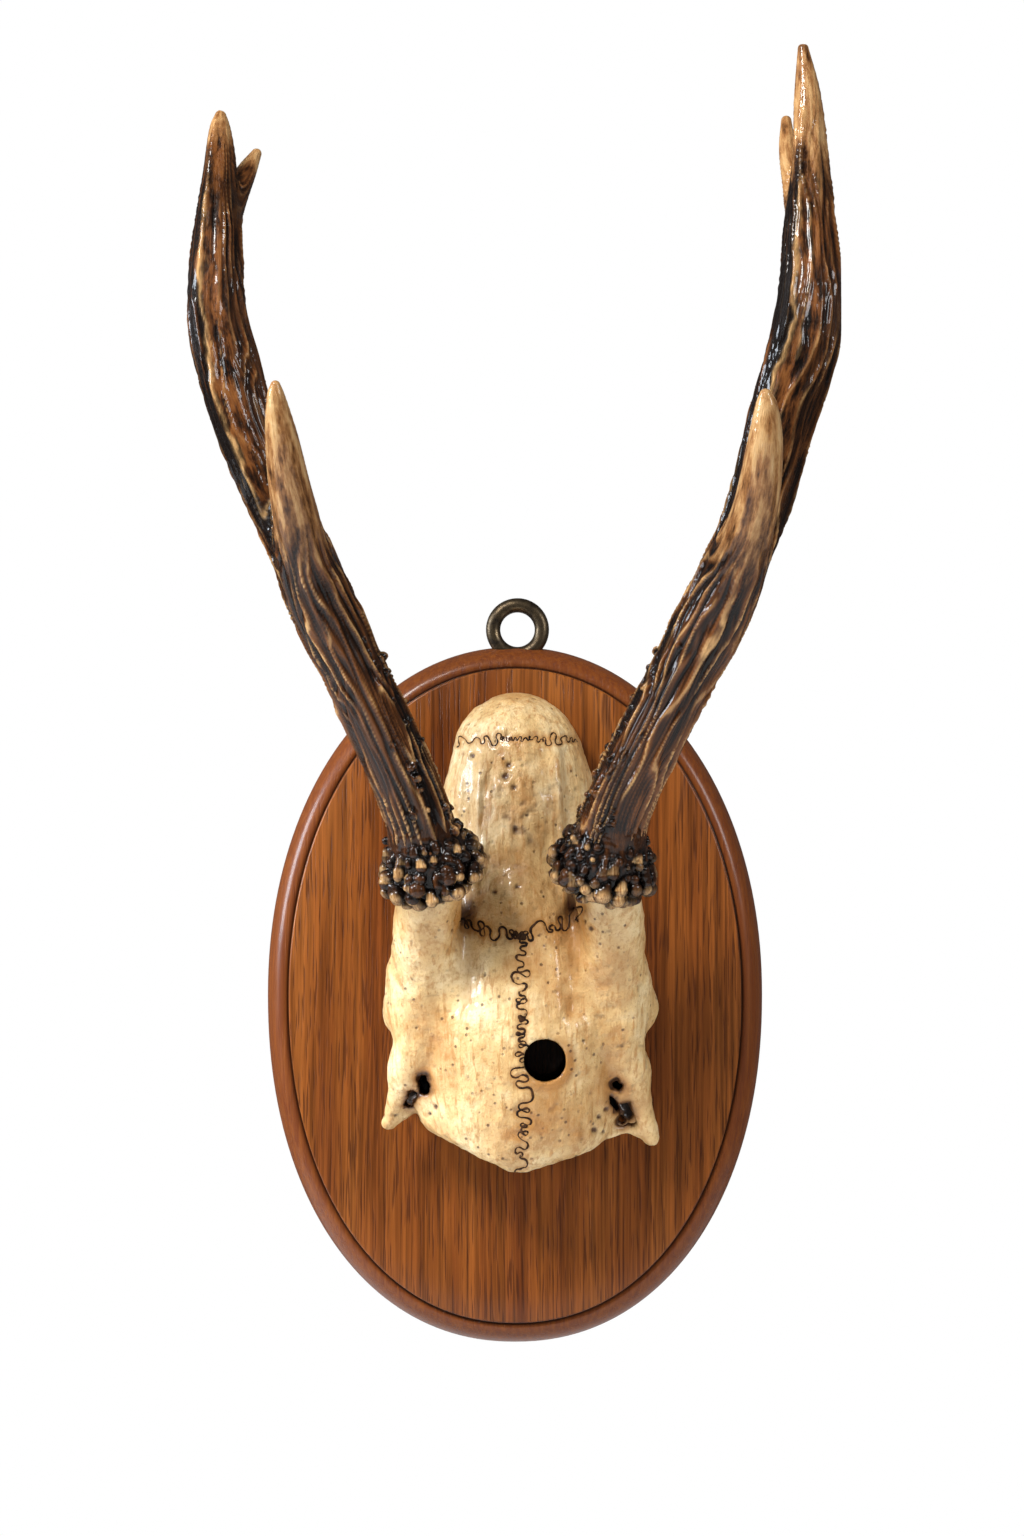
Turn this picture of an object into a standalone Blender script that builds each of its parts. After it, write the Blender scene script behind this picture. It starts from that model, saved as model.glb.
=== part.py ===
"""A roe deer trophy: the cut skull of a roebuck with its six-point antlers, on an oval wooden plaque.

Metres, +Z up. The plaque's back lies on the wall at y = 0, the viewer is towards -Y, and the origin is
the centre of that back. "Left" and "right" are the viewer's. Bones are first modelled whole, as rounded
forms that run into one another, and are then parted with thin cuts.
"""

import math

import bmesh
import bpy
import numpy as np
from mathutils import Matrix, Vector

MM = 0.001
GAP = 0.3 * MM

# Plaque: a turned oval board with a raised panel inside a rounded rim
PLAQUE_WIDTH = 158.4 * MM
PLAQUE_HEIGHT = 222.6 * MM
PLAQUE_THICKNESS = 18 * MM
PLAQUE_SIDES = 64
UPPER_FULLNESS = 2.07
LOWER_FULLNESS = 2.15
RIM_WIDTH = 7.2 * MM
RIM_WALL = 6.0 * MM
RIM_DROP = 1.5 * MM
RIM_STEPS = 5
ARRIS = 0.6 * MM

# Hanging ring: a screw eye sunk in the plaque's top edge
RING_RADIUS = 7.8 * MM
RING_WIRE = 2.3 * MM
RING_X = 0.8 * MM
SHANK_RADIUS = 1.6 * MM
SHANK_LENGTH = 22 * MM

# Skull
SKULL_X = 1.2 * MM
CORONAL_Z = 20.4 * MM
LAMBDOID_Z = 80.6 * MM
CORONAL_REACH = 15.5
CORONAL_LIFT = 21.3
PEDICLE_SLOPE = 1.554
HOLE_ACROSS = 8.0 * MM
HOLE_UP = -18.5 * MM
HOLE_RADIUS = 6.6 * MM
SKULL_VOXEL = 1.5 * MM
SKULL_TRIANGLES = 3000

# Antlers
BURR_RADIUS = 14.5 * MM
BURR_HALF_HEIGHT = 3.6 * MM
SEAT_DEPTH = 2.4 * MM
ANTLER_VOXEL = 1.25 * MM
ANTLER_TRIANGLES = 3100
RIDGE_HEIGHT = 0.55 * MM

COLOURS = {
    "wood": ((0.30, 0.105, 0.03), 0.42, 0.0),
    "bone": ((0.78, 0.62, 0.40), 0.55, 0.0),
    "antler": ((0.12, 0.06, 0.03), 0.40, 0.0),
    "tine": ((0.42, 0.27, 0.13), 0.38, 0.0),
    "bronze": ((0.10, 0.08, 0.05), 0.35, 0.9),
}


# Forms: rounded bodies that give their distance from any point


class Ball:
    """An ellipsoid."""

    def __init__(self, centre, radii):
        self.centre = np.array(centre) * MM
        self.radii = np.array(radii) * MM

    def distance(self, points):
        scaled = (points - self.centre) / self.radii
        reach = np.linalg.norm(scaled, axis=1)
        slope = np.maximum(np.linalg.norm(scaled / self.radii, axis=1), 1e-9)
        return reach * (reach - 1) / slope

    def balls(self):
        return [(self.centre, self.radii)]


class Limb:
    """A tapering limb along a smooth curve through (x, y, z, radius) stations."""

    def __init__(self, stations, steps=5, grown=0.0):
        self.samples = smooth_curve(np.array(stations) * MM, steps)
        self.samples[:, 3] += grown

    def distance(self, points):
        best = np.full(len(points), 1.0)
        for start, end in zip(self.samples, self.samples[1:]):
            axis = end[:3] - start[:3]
            along = np.clip(((points - start[:3]) @ axis) / (axis @ axis), 0, 1)
            off = np.linalg.norm(points - start[:3] - along[:, None] * axis, axis=1)
            best = np.minimum(best, off - start[3] - (end[3] - start[3]) * along)
        return best

    def balls(self):
        return [(row[:3], np.full(3, row[3])) for row in self.samples]


class Fused:
    """Forms that run into one another over a blend width."""

    def __init__(self, parts, blend):
        self.parts = parts
        self.blend = blend * MM

    def distance(self, points):
        total = self.parts[0].distance(points)
        for part in self.parts[1:]:
            total = soft_least(total, part.distance(points), self.blend)
        return total

    def balls(self):
        return [ball for part in self.parts for ball in part.balls()]


class Trimmed:
    """A form cut back by planes, each a point and the direction that is cut away, and by other forms."""

    def __init__(self, form, planes=(), hollows=(), blend=1.0):
        self.form = form
        self.planes = [(np.array(p) * MM, np.array(n) / np.linalg.norm(n)) for p, n in planes]
        self.hollows = hollows
        self.blend = blend * MM

    def distance(self, points):
        total = self.form.distance(points)
        for point, normal in self.planes:
            total = -soft_least(-total, -((points - point) @ normal), self.blend)
        for hollow in self.hollows:
            total = -soft_least(-total, hollow.distance(points), self.blend)
        return total

    def balls(self):
        return self.form.balls()


def smooth_curve(stations, steps):
    """Rows on a Catmull-Rom curve through all the stations."""
    rows = np.vstack([2 * stations[0] - stations[1], stations, 2 * stations[-1] - stations[-2]])
    curve = []
    for a, b, c, d in zip(rows, rows[1:], rows[2:], rows[3:]):
        for t in np.arange(steps) / steps:
            bend = (2 * a - 5 * b + 4 * c - d) * t**2 + (3 * b - a - 3 * c + d) * t**3
            curve.append(0.5 * (2 * b + (c - a) * t + bend))
    curve.append(stations[-1])
    return np.array(curve)


def soft_least(a, b, blend):
    """The smaller of two distances, rounded where they are within a blend width."""
    share = np.clip(0.5 + 0.5 * (b - a) / blend, 0, 1)
    return b + (a - b) * share - blend * share * (1 - share)


# Meshes


def new_object(name, mesh):
    """A mesh object in the scene."""
    obj = bpy.data.objects.new(name, mesh)
    bpy.context.scene.collection.objects.link(obj)
    return obj


def baked(obj):
    """The object with its modifiers applied."""
    bpy.context.view_layer.update()
    graph = bpy.context.evaluated_depsgraph_get()
    mesh = bpy.data.meshes.new_from_object(obj.evaluated_get(graph))
    obj.modifiers.clear()
    obj.data = mesh
    return obj


def rough_body(name, form, voxel):
    """The form's balls, remeshed into one closed skin."""
    bm = bmesh.new()
    for centre, radii in form.balls():
        place = Matrix.Translation(centre) @ Matrix.Diagonal((*radii, 1.0))
        bmesh.ops.create_icosphere(bm, subdivisions=3, radius=1.0, matrix=place)
    mesh = bpy.data.meshes.new(name)
    bm.to_mesh(mesh)
    bm.free()
    obj = new_object(name, mesh)
    remesh = obj.modifiers.new("skin", "REMESH")
    remesh.mode = "VOXEL"
    remesh.voxel_size = voxel
    return baked(obj)


def corners(mesh):
    """The mesh's vertices as rows."""
    rows = np.empty(len(mesh.vertices) * 3, np.float32)
    mesh.vertices.foreach_get("co", rows)
    return rows.reshape(-1, 3).astype(float)


def set_corners(mesh, rows):
    """Moves the mesh's vertices to the rows."""
    mesh.vertices.foreach_set("co", rows.astype(np.float32).ravel())
    mesh.update()


def slopes(form, points):
    """The form's distance and its gradient at each point."""
    small = 0.02 * MM
    here = form.distance(points)
    rise = [form.distance(points + way) - here for way in np.eye(3) * small]
    return here, np.stack(rise, axis=1) / small


def settle(mesh, form, passes):
    """Moves each vertex along the form's gradient onto its surface."""
    points = corners(mesh)
    for _ in range(passes):
        distance, gradient = slopes(form, points)
        size = np.maximum((gradient**2).sum(axis=1), 0.2)
        points -= gradient * np.clip(distance / size, -2 * MM, 2 * MM)[:, None]
    set_corners(mesh, points)


def smoothed(obj, factor, turns):
    """Evens out the mesh."""
    smooth = obj.modifiers.new("even", "SMOOTH")
    smooth.factor = factor
    smooth.iterations = turns
    return baked(obj)


def modelled(name, form, voxel, passes=4):
    """A closed skin on the form's surface."""
    obj = rough_body(name, form, voxel)
    settle(obj.data, form, passes)
    smoothed(obj, 0.5, 3)
    settle(obj.data, form, 1)
    return obj


def thinned(obj, triangles):
    """Brings the mesh down to about that many triangles."""
    obj.data.calc_loop_triangles()
    decimate = obj.modifiers.new("fewer", "DECIMATE")
    decimate.ratio = min(1.0, triangles / len(obj.data.loop_triangles))
    return baked(obj)


def joined_or_cut(obj, others, operation, solver="EXACT"):
    """Applies one Boolean with the other objects, and removes them."""
    tools = bpy.data.collections.new("tools")
    for other in others:
        tools.objects.link(other)
    boolean = obj.modifiers.new(operation.lower(), "BOOLEAN")
    boolean.operation = operation
    boolean.solver = solver
    boolean.operand_type = "COLLECTION"
    boolean.collection = tools
    baked(obj)
    for other in others:
        bpy.data.objects.remove(other)
    bpy.data.collections.remove(tools)
    return obj


def prism(name, outline, low_y, high_y):
    """A closed prism along Y over an (x, z) outline."""
    bm = bmesh.new()
    face = bm.faces.new([bm.verts.new((x, low_y, z)) for x, z in outline])
    swept = bmesh.ops.extrude_face_region(bm, geom=[face])["geom"]
    moved = [item for item in swept if isinstance(item, bmesh.types.BMVert)]
    bmesh.ops.translate(bm, verts=moved, vec=(0, high_y - low_y, 0))
    bmesh.ops.recalc_face_normals(bm, faces=bm.faces)
    mesh = bpy.data.meshes.new(name)
    bm.to_mesh(mesh)
    bm.free()
    return new_object(name, mesh)


def block(name, centre, axes, size):
    """A box with its sides along three axes."""
    turn = Matrix([Vector(axis).normalized() for axis in axes]).transposed().to_4x4()
    place = Matrix.Translation(centre) @ turn @ Matrix.Diagonal((*size, 1.0))
    bm = bmesh.new()
    bmesh.ops.create_cube(bm, size=1.0, matrix=place)
    bmesh.ops.recalc_face_normals(bm, faces=bm.faces)
    mesh = bpy.data.meshes.new(name)
    bm.to_mesh(mesh)
    bm.free()
    return new_object(name, mesh)


def turned(name, start, end, radius, end_radius=None, sides=32):
    """A round bar or cone from start to end."""
    start, end = Vector(start), Vector(end)
    axis = end - start
    place = Matrix.Translation((start + end) / 2) @ axis.to_track_quat("Z", "Y").to_matrix().to_4x4()
    bm = bmesh.new()
    bmesh.ops.create_cone(
        bm, cap_ends=True, segments=sides, radius1=radius,
        radius2=radius if end_radius is None else end_radius, depth=axis.length, matrix=place,
    )
    mesh = bpy.data.meshes.new(name)
    bm.to_mesh(mesh)
    bm.free()
    return new_object(name, mesh)


def loose_bodies(obj):
    """The closed bodies of the mesh, each as a bmesh, largest first."""
    source = bmesh.new()
    source.from_mesh(obj.data)
    left = set(source.verts)
    groups = []
    while left:
        todo = [left.pop()]
        group = set(todo)
        while todo:
            for edge in todo.pop().link_edges:
                for vertex in edge.verts:
                    if vertex in left:
                        left.remove(vertex)
                        group.add(vertex)
                        todo.append(vertex)
        groups.append({vertex.index for vertex in group})
    bodies = []
    for group in groups:
        body = source.copy()
        body.verts.ensure_lookup_table()
        others = [vertex for vertex in body.verts if vertex.index not in group]
        bmesh.ops.delete(body, geom=others, context="VERTS")
        bodies.append(body)
    source.free()
    return sorted(bodies, key=lambda body: -body.calc_volume())


def part_into(obj, labels):
    """Splits a cut body into named objects: each label names the largest body near its point."""
    bodies = loose_bodies(obj)
    bpy.data.objects.remove(obj)
    made = {}
    large = bodies[: len(labels)]
    for name, point in labels.items():
        target = Vector(point)
        nearest = min(large, key=lambda body: min((v.co - target).length for v in body.verts))
        large.remove(nearest)
        mesh = bpy.data.meshes.new(name)
        nearest.to_mesh(mesh)
        made[name] = new_object(name, mesh)
    for body in bodies:
        body.free()
    return made


def dressed(obj, finish, smooth_angle=50):
    """Gives the object its material and shading."""
    material = bpy.data.materials.get(finish)
    if material is None:
        colour, roughness, metallic = COLOURS[finish]
        material = bpy.data.materials.new(finish)
        material.use_nodes = True
        shader = material.node_tree.nodes["Principled BSDF"]
        shader.inputs["Base Color"].default_value = (*colour, 1.0)
        shader.inputs["Roughness"].default_value = roughness
        shader.inputs["Metallic"].default_value = metallic
    obj.data.materials.clear()
    obj.data.materials.append(material)
    obj.data.shade_smooth()
    obj.data.set_sharp_from_angle(angle=math.radians(smooth_angle))
    return obj


# Plaque and ring


def rim_profile():
    """(inset, y) steps from the back edge round the rim to the panel's edge."""
    crown = PLAQUE_THICKNESS - RIM_DROP
    profile = [(ARRIS, 0.0), (0.0, -ARRIS), (0.0, -RIM_WALL)]
    for step in range(1, RIM_STEPS + 1):
        turn = math.radians(90) * step / RIM_STEPS
        inset = (RIM_WIDTH - ARRIS) * (1 - math.cos(turn))
        profile.append((inset, -RIM_WALL - (crown - RIM_WALL) * math.sin(turn)))
    profile.append((RIM_WIDTH, -PLAQUE_THICKNESS + ARRIS / 2))
    profile.append((RIM_WIDTH + ARRIS, -PLAQUE_THICKNESS))
    return profile


def oval(inset, y):
    """Points of the plaque's outline, an ellipse made a little fuller, drawn in by an inset."""
    half_x, half_z = PLAQUE_WIDTH / 2 - inset, PLAQUE_HEIGHT / 2 - inset
    places = []
    for i in range(PLAQUE_SIDES):
        turn = 2 * math.pi * i / PLAQUE_SIDES
        fullness = UPPER_FULLNESS if math.sin(turn) > 0 else LOWER_FULLNESS
        x, z = (math.copysign(abs(way) ** (2 / fullness), way) for way in (math.cos(turn), math.sin(turn)))
        places.append(Vector((half_x * x, y, half_z * z)))
    return places


def build_plaque():
    """The board, with a seat for the screw eye in its top edge."""
    bm = bmesh.new()
    ring = bmesh.ops.create_circle(bm, cap_ends=True, segments=PLAQUE_SIDES, radius=1.0)["verts"]
    profile = rim_profile()
    for vertex, place in zip(ring, oval(*profile[0])):
        vertex.co = place
    edges = list(bm.edges)
    for step in profile[1:]:
        swept = bmesh.ops.extrude_edge_only(bm, edges=edges)["geom"]
        edges = [item for item in swept if isinstance(item, bmesh.types.BMEdge)]
        verts = {v for edge in edges for v in edge.verts}
        places = oval(*step)
        for vertex in verts:
            vertex.co = min(places, key=lambda p: turn_between(p, vertex.co))
    bmesh.ops.holes_fill(bm, edges=bm.edges, sides=PLAQUE_SIDES)
    bmesh.ops.recalc_face_normals(bm, faces=bm.faces)
    mesh = bpy.data.meshes.new("plaque")
    bm.to_mesh(mesh)
    bm.free()
    plaque = new_object("plaque", mesh)
    joined_or_cut(plaque, [eye_shape("eye_seat", GAP)], "DIFFERENCE")
    return dressed(plaque, "wood", 30)


def turn_between(place, point):
    """How far apart two points lie round the oval's centre."""
    a = math.atan2(place.z * PLAQUE_WIDTH, place.x * PLAQUE_HEIGHT)
    b = math.atan2(point.z * PLAQUE_WIDTH, point.x * PLAQUE_HEIGHT)
    return abs((a - b + math.pi) % (2 * math.pi) - math.pi)


def eye_shape(name, grown):
    """The screw eye: a wire ring on a shank that runs down into the board."""
    centre = Vector((RING_X, -PLAQUE_THICKNESS / 2, PLAQUE_HEIGHT / 2 + RING_RADIUS - RING_WIRE))
    bm = bmesh.new()
    start = Matrix.Translation(centre + Vector((RING_RADIUS, 0, 0)))
    circle = bmesh.ops.create_circle(bm, segments=12, radius=RING_WIRE + grown, matrix=start)["verts"]
    bmesh.ops.spin(
        bm, geom=circle + list(bm.edges), cent=centre, axis=(0, 1, 0), angle=2 * math.pi,
        steps=30, use_merge=True,
    )
    bmesh.ops.remove_doubles(bm, verts=bm.verts, dist=1e-6)
    bmesh.ops.recalc_face_normals(bm, faces=bm.faces)
    mesh = bpy.data.meshes.new(name)
    bm.to_mesh(mesh)
    bm.free()
    eye = new_object(name, mesh)
    top = centre - Vector((0, 0, RING_RADIUS))
    foot = top - Vector((0, 0, SHANK_LENGTH + grown))
    shank = turned(f"{name}_shank", foot, top, SHANK_RADIUS + grown, sides=16)
    return joined_or_cut(eye, [shank], "UNION")


# Skull


def bone(across, height, up):
    """A point by its distance from the suture line, its height over the plaque and its z, in mm."""
    return (SKULL_X / MM + across, -PLAQUE_THICKNESS / MM - height, up)


def bone_ball(place, radii):
    """An ellipsoid whose radii are across, in height and up."""
    return Ball(bone(*place), radii)


def bone_limb(stations, steps=4, grown=0.0):
    """A limb through (across, height, up, radius) stations."""
    return Limb([(*bone(a, h, u), r) for a, h, u, r in stations], steps, grown)


def mirrored(side, stations):
    """Stations on one side of the suture line: -1 is left, 1 is right."""
    return [(side * row[0], *row[1:]) for row in stations]


PEDICLE = [(29.6, 22, 0, 10.8), (29, 31, 14, 10.5), (28.2, 40, 29, 10.2), (26.4, 50, 42.5, 9.7)]
BROW_RIDGE = [(30, 22, 4, 10.3), (32.3, 24.5, -11, 7.0), (35, 22.5, -22, 5.4)]
PROCESS_TIPS = {-1: (-41.4, 15, -39.4, 1.9), 1: (41.8, 15, -44.0, 2.3)}
CHEEK_BOSSES = {-1: -38.8, 1: 39.5}
PROCESS_WEBS = {
    -1: [(-40.6, 15, -38.4, 2.0), (-36.2, 16, -35.3, 2.3), (-32.2, 17, -32.4, 2.1), (-27, 19, -32, 2.6)],
    1: [(40.8, 15, -42.8, 2.1), (34.2, 16, -40.8, 1.8), (28.2, 18, -41.8, 2.4)],
}

# Openings beside each process: (across, up) of both ends, the radius, and the height that they start from
SLOTS = {
    -1: [((-34.6, -32.4), (-33.2, -29.9), 1.4, -1), ((-29.9, -25.2), (-29.4, -28.2), 1.8, 16)],
    1: [((33.2, -33.6), (34.6, -36.8), 1.8, -1), ((32.0, -38.4), (32.8, -39.4), 0.8, -1),
        ((30.2, -26.6), (31.6, -27.4), 1.2, 17), ((28.8, -30.8), (30.4, -34.2), 1.1, 16)],
}
TEMPLE_RIDGE = [(9.5, 23.3, 80, 1.6), (11.5, 27, 68, 1.8), (11.8, 27.6, 50, 1.8), (14, 29.6, 32, 1.5)]
TEMPLE_HOLLOW = [(17.5, 34, 76, 7), (20, 33, 60, 8), (20.5, 35, 42, 8.5)]


def braincase_form():
    """The domed rear of the skull, with a ridge on each temple."""
    parts = [
        bone_ball((0, 6, 57.5), (24.3, 26.5, 37)),
        bone_ball((-1, 6, 79), (18.4, 21, 16.4)),
        bone_ball((0, 7, 22), (26, 30, 34)),
    ]
    dome = Fused(parts, 5)
    hollows = [bone_limb(mirrored(side, TEMPLE_HOLLOW)) for side in (-1, 1)]
    ridges = [bone_limb(mirrored(side, TEMPLE_RIDGE)) for side in (-1, 1)]
    return Fused([Trimmed(dome, hollows=hollows, blend=6)] + ridges, 3)


def forehead_form():
    """The frontal bones, whose lower edge runs down to a blunt point clear of the plaque."""
    dome = Fused([
        bone_ball((0, 8, -12), (37.5, 34.5, 45)),
        bone_ball((0, 18, -36), (29, 20, 24)),
        bone_ball((0, 14, 8), (30, 25, 22)),
    ], 6)
    planes = [
        (bone(0, 0, -54.8), (-0.41, 0, -0.91)),
        (bone(0, 0, -54.8), (0.33, 0, -0.94)),
        (bone(0, 0, -29), (0, 0.9, -0.43)),
    ]
    valley = bone_limb([(0, 52, 26, 12), (0, 53, 8, 9)])
    return Trimmed(dome, planes, [valley], blend=3)


def orbit_hollow(side):
    """The eye socket's roof, scooped from the side under the brow."""
    return bone_ball((side * 49, 1, -17), (20, 18.5, 19))


def side_forms(side):
    """The pedicle, brow ridge, process and cheek boss of one side."""
    ridge = BROW_RIDGE + [(abs(PROCESS_TIPS[side][0]), *PROCESS_TIPS[side][1:])]
    brow = Fused([
        bone_limb(mirrored(side, ridge)),
        bone_limb(mirrored(side, [(36, 20, -22, 4.6), (30, 19, -27, 4.2), (25, 20, -30, 4)])),
        bone_ball((CHEEK_BOSSES[side], 13, -4.6), (4.2, 8, 7)),
    ], 5)
    return [brow, bone_limb(mirrored(side, PEDICLE))]


def skull_form():
    """The whole skull."""
    parts = [braincase_form(), forehead_form()]
    for side in (-1, 1):
        parts += side_forms(side)
    webs = [bone_limb(PROCESS_WEBS[side]) for side in (-1, 1)]
    body = Fused([Fused(parts, 7)] + webs, 1.5)
    return Trimmed(body, hollows=[orbit_hollow(-1), orbit_hollow(1)], blend=3)


def zigzag(start, end, teeth, swing):
    """A path with teeth to both sides, that get smaller towards its ends."""
    start, end = Vector(start), Vector(end)
    normal = (end - start).orthogonal().normalized()
    count = 2 * teeth
    path = [start]
    for i in range(1, count):
        share = i / count
        reach = swing * (0.55 + 0.45 * math.sin(2.4 * i)) * math.sin(math.pi * share) ** 0.4
        path.append(start.lerp(end, share) + normal * (reach if i % 2 else -reach))
    return path + [end]


def suture_cutter(name, path, normal):
    """A thin sheet along a path, from the plaque's face out past the bone."""
    shift = Vector(normal) * GAP * 0.75
    outline = [p + shift for p in path] + [p - shift for p in reversed(path)]
    return prism(name, outline, -PLAQUE_THICKNESS - 75 * MM, -PLAQUE_THICKNESS + 2 * MM)


def tilted_up(height):
    """The z at which the sheet behind the pedicles passes a height over the plaque, in mm."""
    return CORONAL_Z / MM + (height - CORONAL_LIFT) * PEDICLE_SLOPE


def coronal_side_cutters(side):
    """A sheet that runs behind one pedicle, and the walls that lead it to the coronal suture."""
    inner, outer = side * CORONAL_REACH, side * 60
    low, high = -3, 62
    walls = []
    for reach in (low, high):
        tip = CORONAL_LIFT + (0.4 if reach == low else -0.4)
        outline = [(tip, CORONAL_Z / MM), (reach, CORONAL_Z / MM), (reach, tilted_up(reach))]
        walls.append(slab("wall", [bone(inner, h, z) for h, z in outline], (1, 0, 0)))
    inner -= side * 0.3
    plane = [(inner, low), (outer, low), (outer, high), (inner, high)]
    corners_of_sheet = [bone(a, h, tilted_up(h)) for a, h in plane]
    return walls + [slab("behind", corners_of_sheet, (0, PEDICLE_SLOPE, 1))]


def slab(name, outline, normal):
    """A sheet of the gap's thickness over a flat outline in mm."""
    shift = Vector(normal).normalized() * GAP / 2
    bm = bmesh.new()
    face = bm.faces.new([bm.verts.new(Vector(point) * MM - shift) for point in outline])
    swept = bmesh.ops.extrude_face_region(bm, geom=[face])["geom"]
    moved = [item for item in swept if isinstance(item, bmesh.types.BMVert)]
    bmesh.ops.translate(bm, verts=moved, vec=shift * 2)
    bmesh.ops.recalc_face_normals(bm, faces=bm.faces)
    mesh = bpy.data.meshes.new(name)
    bm.to_mesh(mesh)
    bm.free()
    return new_object(name, mesh)


def suture_cutters():
    """Sheets along the sutures between the bones."""
    width = 60 * MM
    teeth = 17 * MM
    reach = (CORONAL_REACH + 0.3) * MM

    def at(across, up):
        return Vector((SKULL_X + across, up))

    coronal = zigzag(at(-reach, CORONAL_Z), at(reach, CORONAL_Z), 6, 1.6 * MM)
    lambdoid = [at(-width, LAMBDOID_Z)] + zigzag(at(-teeth, LAMBDOID_Z), at(teeth, LAMBDOID_Z), 7, 1.0 * MM)
    lambdoid.append(at(width, LAMBDOID_Z))
    middle = zigzag(at(0, CORONAL_Z + 0.05 * MM), at(0, -62 * MM), 14, 1.5 * MM)
    cutters = [
        suture_cutter("coronal", coronal, (0, 1)),
        suture_cutter("lambdoid", lambdoid, (0, 1)),
        suture_cutter("middle", middle, (1, 0)),
    ]
    for side in (-1, 1):
        cutters += coronal_side_cutters(side)
    return cutters


def pedicle_top(side, room):
    """A block over the flat top of a pedicle, that much clear of the burr's seat."""
    centre, axis = burr_place(side)
    across = axis.orthogonal()
    middle = centre + axis * (15 * MM - SEAT_DEPTH - room)
    return block("top", middle, (across, axis.cross(across), axis), (27 * MM, 27 * MM, 30 * MM))


def pedicle_plug(side):
    """A pedicle's upper end with the gap round it, to cut the burr's seat."""
    plug = modelled("plug", bone_limb(mirrored(side, PEDICLE[1:]), 4, 1.6 * GAP), 1.6 * MM, 3)
    return joined_or_cut(thinned(plug, 420), [pedicle_top(side, 0.0)], "DIFFERENCE")


def slot(name, start, end, radius, height):
    """A round-ended cutter between two (across, up) places, from a height over the plaque out past the bone."""
    along = math.atan2(end[1] - start[1], end[0] - start[0])
    outline = []
    for place, way in ((end, -90), (start, 90)):
        for step in range(9):
            turn = along + math.radians(way + 22.5 * step)
            x, _, z = bone(place[0] + radius * math.cos(turn), 0, place[1] + radius * math.sin(turn))
            outline.append((x * MM, z * MM))
    return prism(name, outline, -PLAQUE_THICKNESS - 75 * MM, -PLAQUE_THICKNESS - height * MM)


def foramen_cutters():
    """The slots beside each process, the drilled hole and its wider inside."""
    cutters = [slot(f"slot_{side}_{i}", *sizes) for side in (-1, 1) for i, sizes in enumerate(SLOTS[side])]
    hollow = bone_ball((9, 24, -18.5), (8.2, 14, 9))
    cutters.append(thinned(modelled("hollow", hollow, 1.6 * MM, 2), 240))
    front = Vector(bone(0, 70, 0)) * MM
    x = SKULL_X + HOLE_ACROSS
    start = Vector((x, -PLAQUE_THICKNESS + 1 * MM, HOLE_UP))
    cutters.append(turned("hole", start, Vector((x, front.y, HOLE_UP)), HOLE_RADIUS, sides=32))
    return cutters


def build_skull():
    """The skull's bones, parted along the sutures."""
    skull = modelled("skull", skull_form(), SKULL_VOXEL)
    thinned(skull, SKULL_TRIANGLES)
    board = block(
        "board", (0, -PLAQUE_THICKNESS - GAP + 50 * MM, 20 * MM), np.eye(3), (200 * MM, 100 * MM, 240 * MM)
    )
    joined_or_cut(skull, [board] + [pedicle_top(side, GAP) for side in (-1, 1)], "DIFFERENCE")
    joined_or_cut(skull, foramen_cutters(), "DIFFERENCE")
    joined_or_cut(skull, suture_cutters(), "DIFFERENCE")
    labels = {
        "skull_occipital": Vector(bone(0, 20, 92)) * MM,
        "skull_parietal": Vector(bone(0, 36, 50)) * MM,
        "skull_frontal_left": Vector(bone(-18, 42, -15)) * MM,
        "skull_frontal_right": Vector(bone(18, 42, -15)) * MM,
    }
    for made in part_into(skull, labels).values():
        dressed(made, "bone")


# Antlers

SIDES = {-1: "left", 1: "right"}
BEAMS = {
    -1: [(-25.6, -68.3, 42.4, 10.6), (-31.6, -79, 62.7, 10.1), (-44.6, -92, 93.1, 9.9), (-59.6, -104, 125.5, 9.2),
         (-70.9, -109, 150, 9.2), (-80.2, -111.5, 172, 9.6), (-86.6, -112, 193, 9.9), (-90.1, -111, 211, 9.0),
         (-90.1, -107, 233, 7.4), (-89.8, -101.5, 250, 5.6), (-89.5, -98, 264, 3.6), (-89.2, -97, 269.6, 1.8)],
    1: [(27.2, -68.3, 42.8, 10.6), (32.2, -79, 62.7, 10.3), (46.8, -92, 93.1, 10.3), (62.3, -104, 125.5, 9.7),
        (72, -109, 150, 9.6), (79.3, -111.5, 177, 10.2), (85.3, -112, 198, 10.7), (87.8, -111, 216, 9.8),
        (88.1, -106, 236, 7.9), (88.4, -100, 257, 5.7), (88.4, -96, 276, 4.1), (87.2, -95, 290.2, 1.7)],
}
FRONT_TINES = {
    -1: [(-54.4, -99, 113, 8.2), (-61.6, -111, 131, 7.9), (-66, -126.5, 151, 6.6), (-68.7, -137, 169, 5.0),
         (-70.1, -142.5, 180.5, 2.9), (-70.3, -144, 184.6, 1.5)],
    1: [(57.4, -100, 113, 8.6), (65.5, -112, 131, 8.0), (71.2, -126, 149.5, 6.8), (73.4, -137, 166.5, 5.5),
        (73.7, -142, 177.5, 3.6), (73.3, -144, 182, 1.7)],
}
REAR_TINES = {
    -1: [(-89.5, -105, 232, 5.8), (-85.5, -98, 244, 4.5), (-81.8, -91.5, 253, 3.2), (-78.8, -86, 259.6, 1.6)],
    1: [(87.4, -105, 230, 6.0), (84.9, -94.5, 247, 3.8), (83.1, -86, 260.5, 2.8), (82.9, -80, 270.4, 1.6)],
}
FORK_CUTS = {-1: (127, 240), 1: (127, 243)}
PEARL_ROWS = ((17, -2.6, 1.0, 2.7), (15, 0.6, 0.96, 2.3), (13, 3.4, 0.86, 1.9))
CLIMBING_PEARLS = 18


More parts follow.
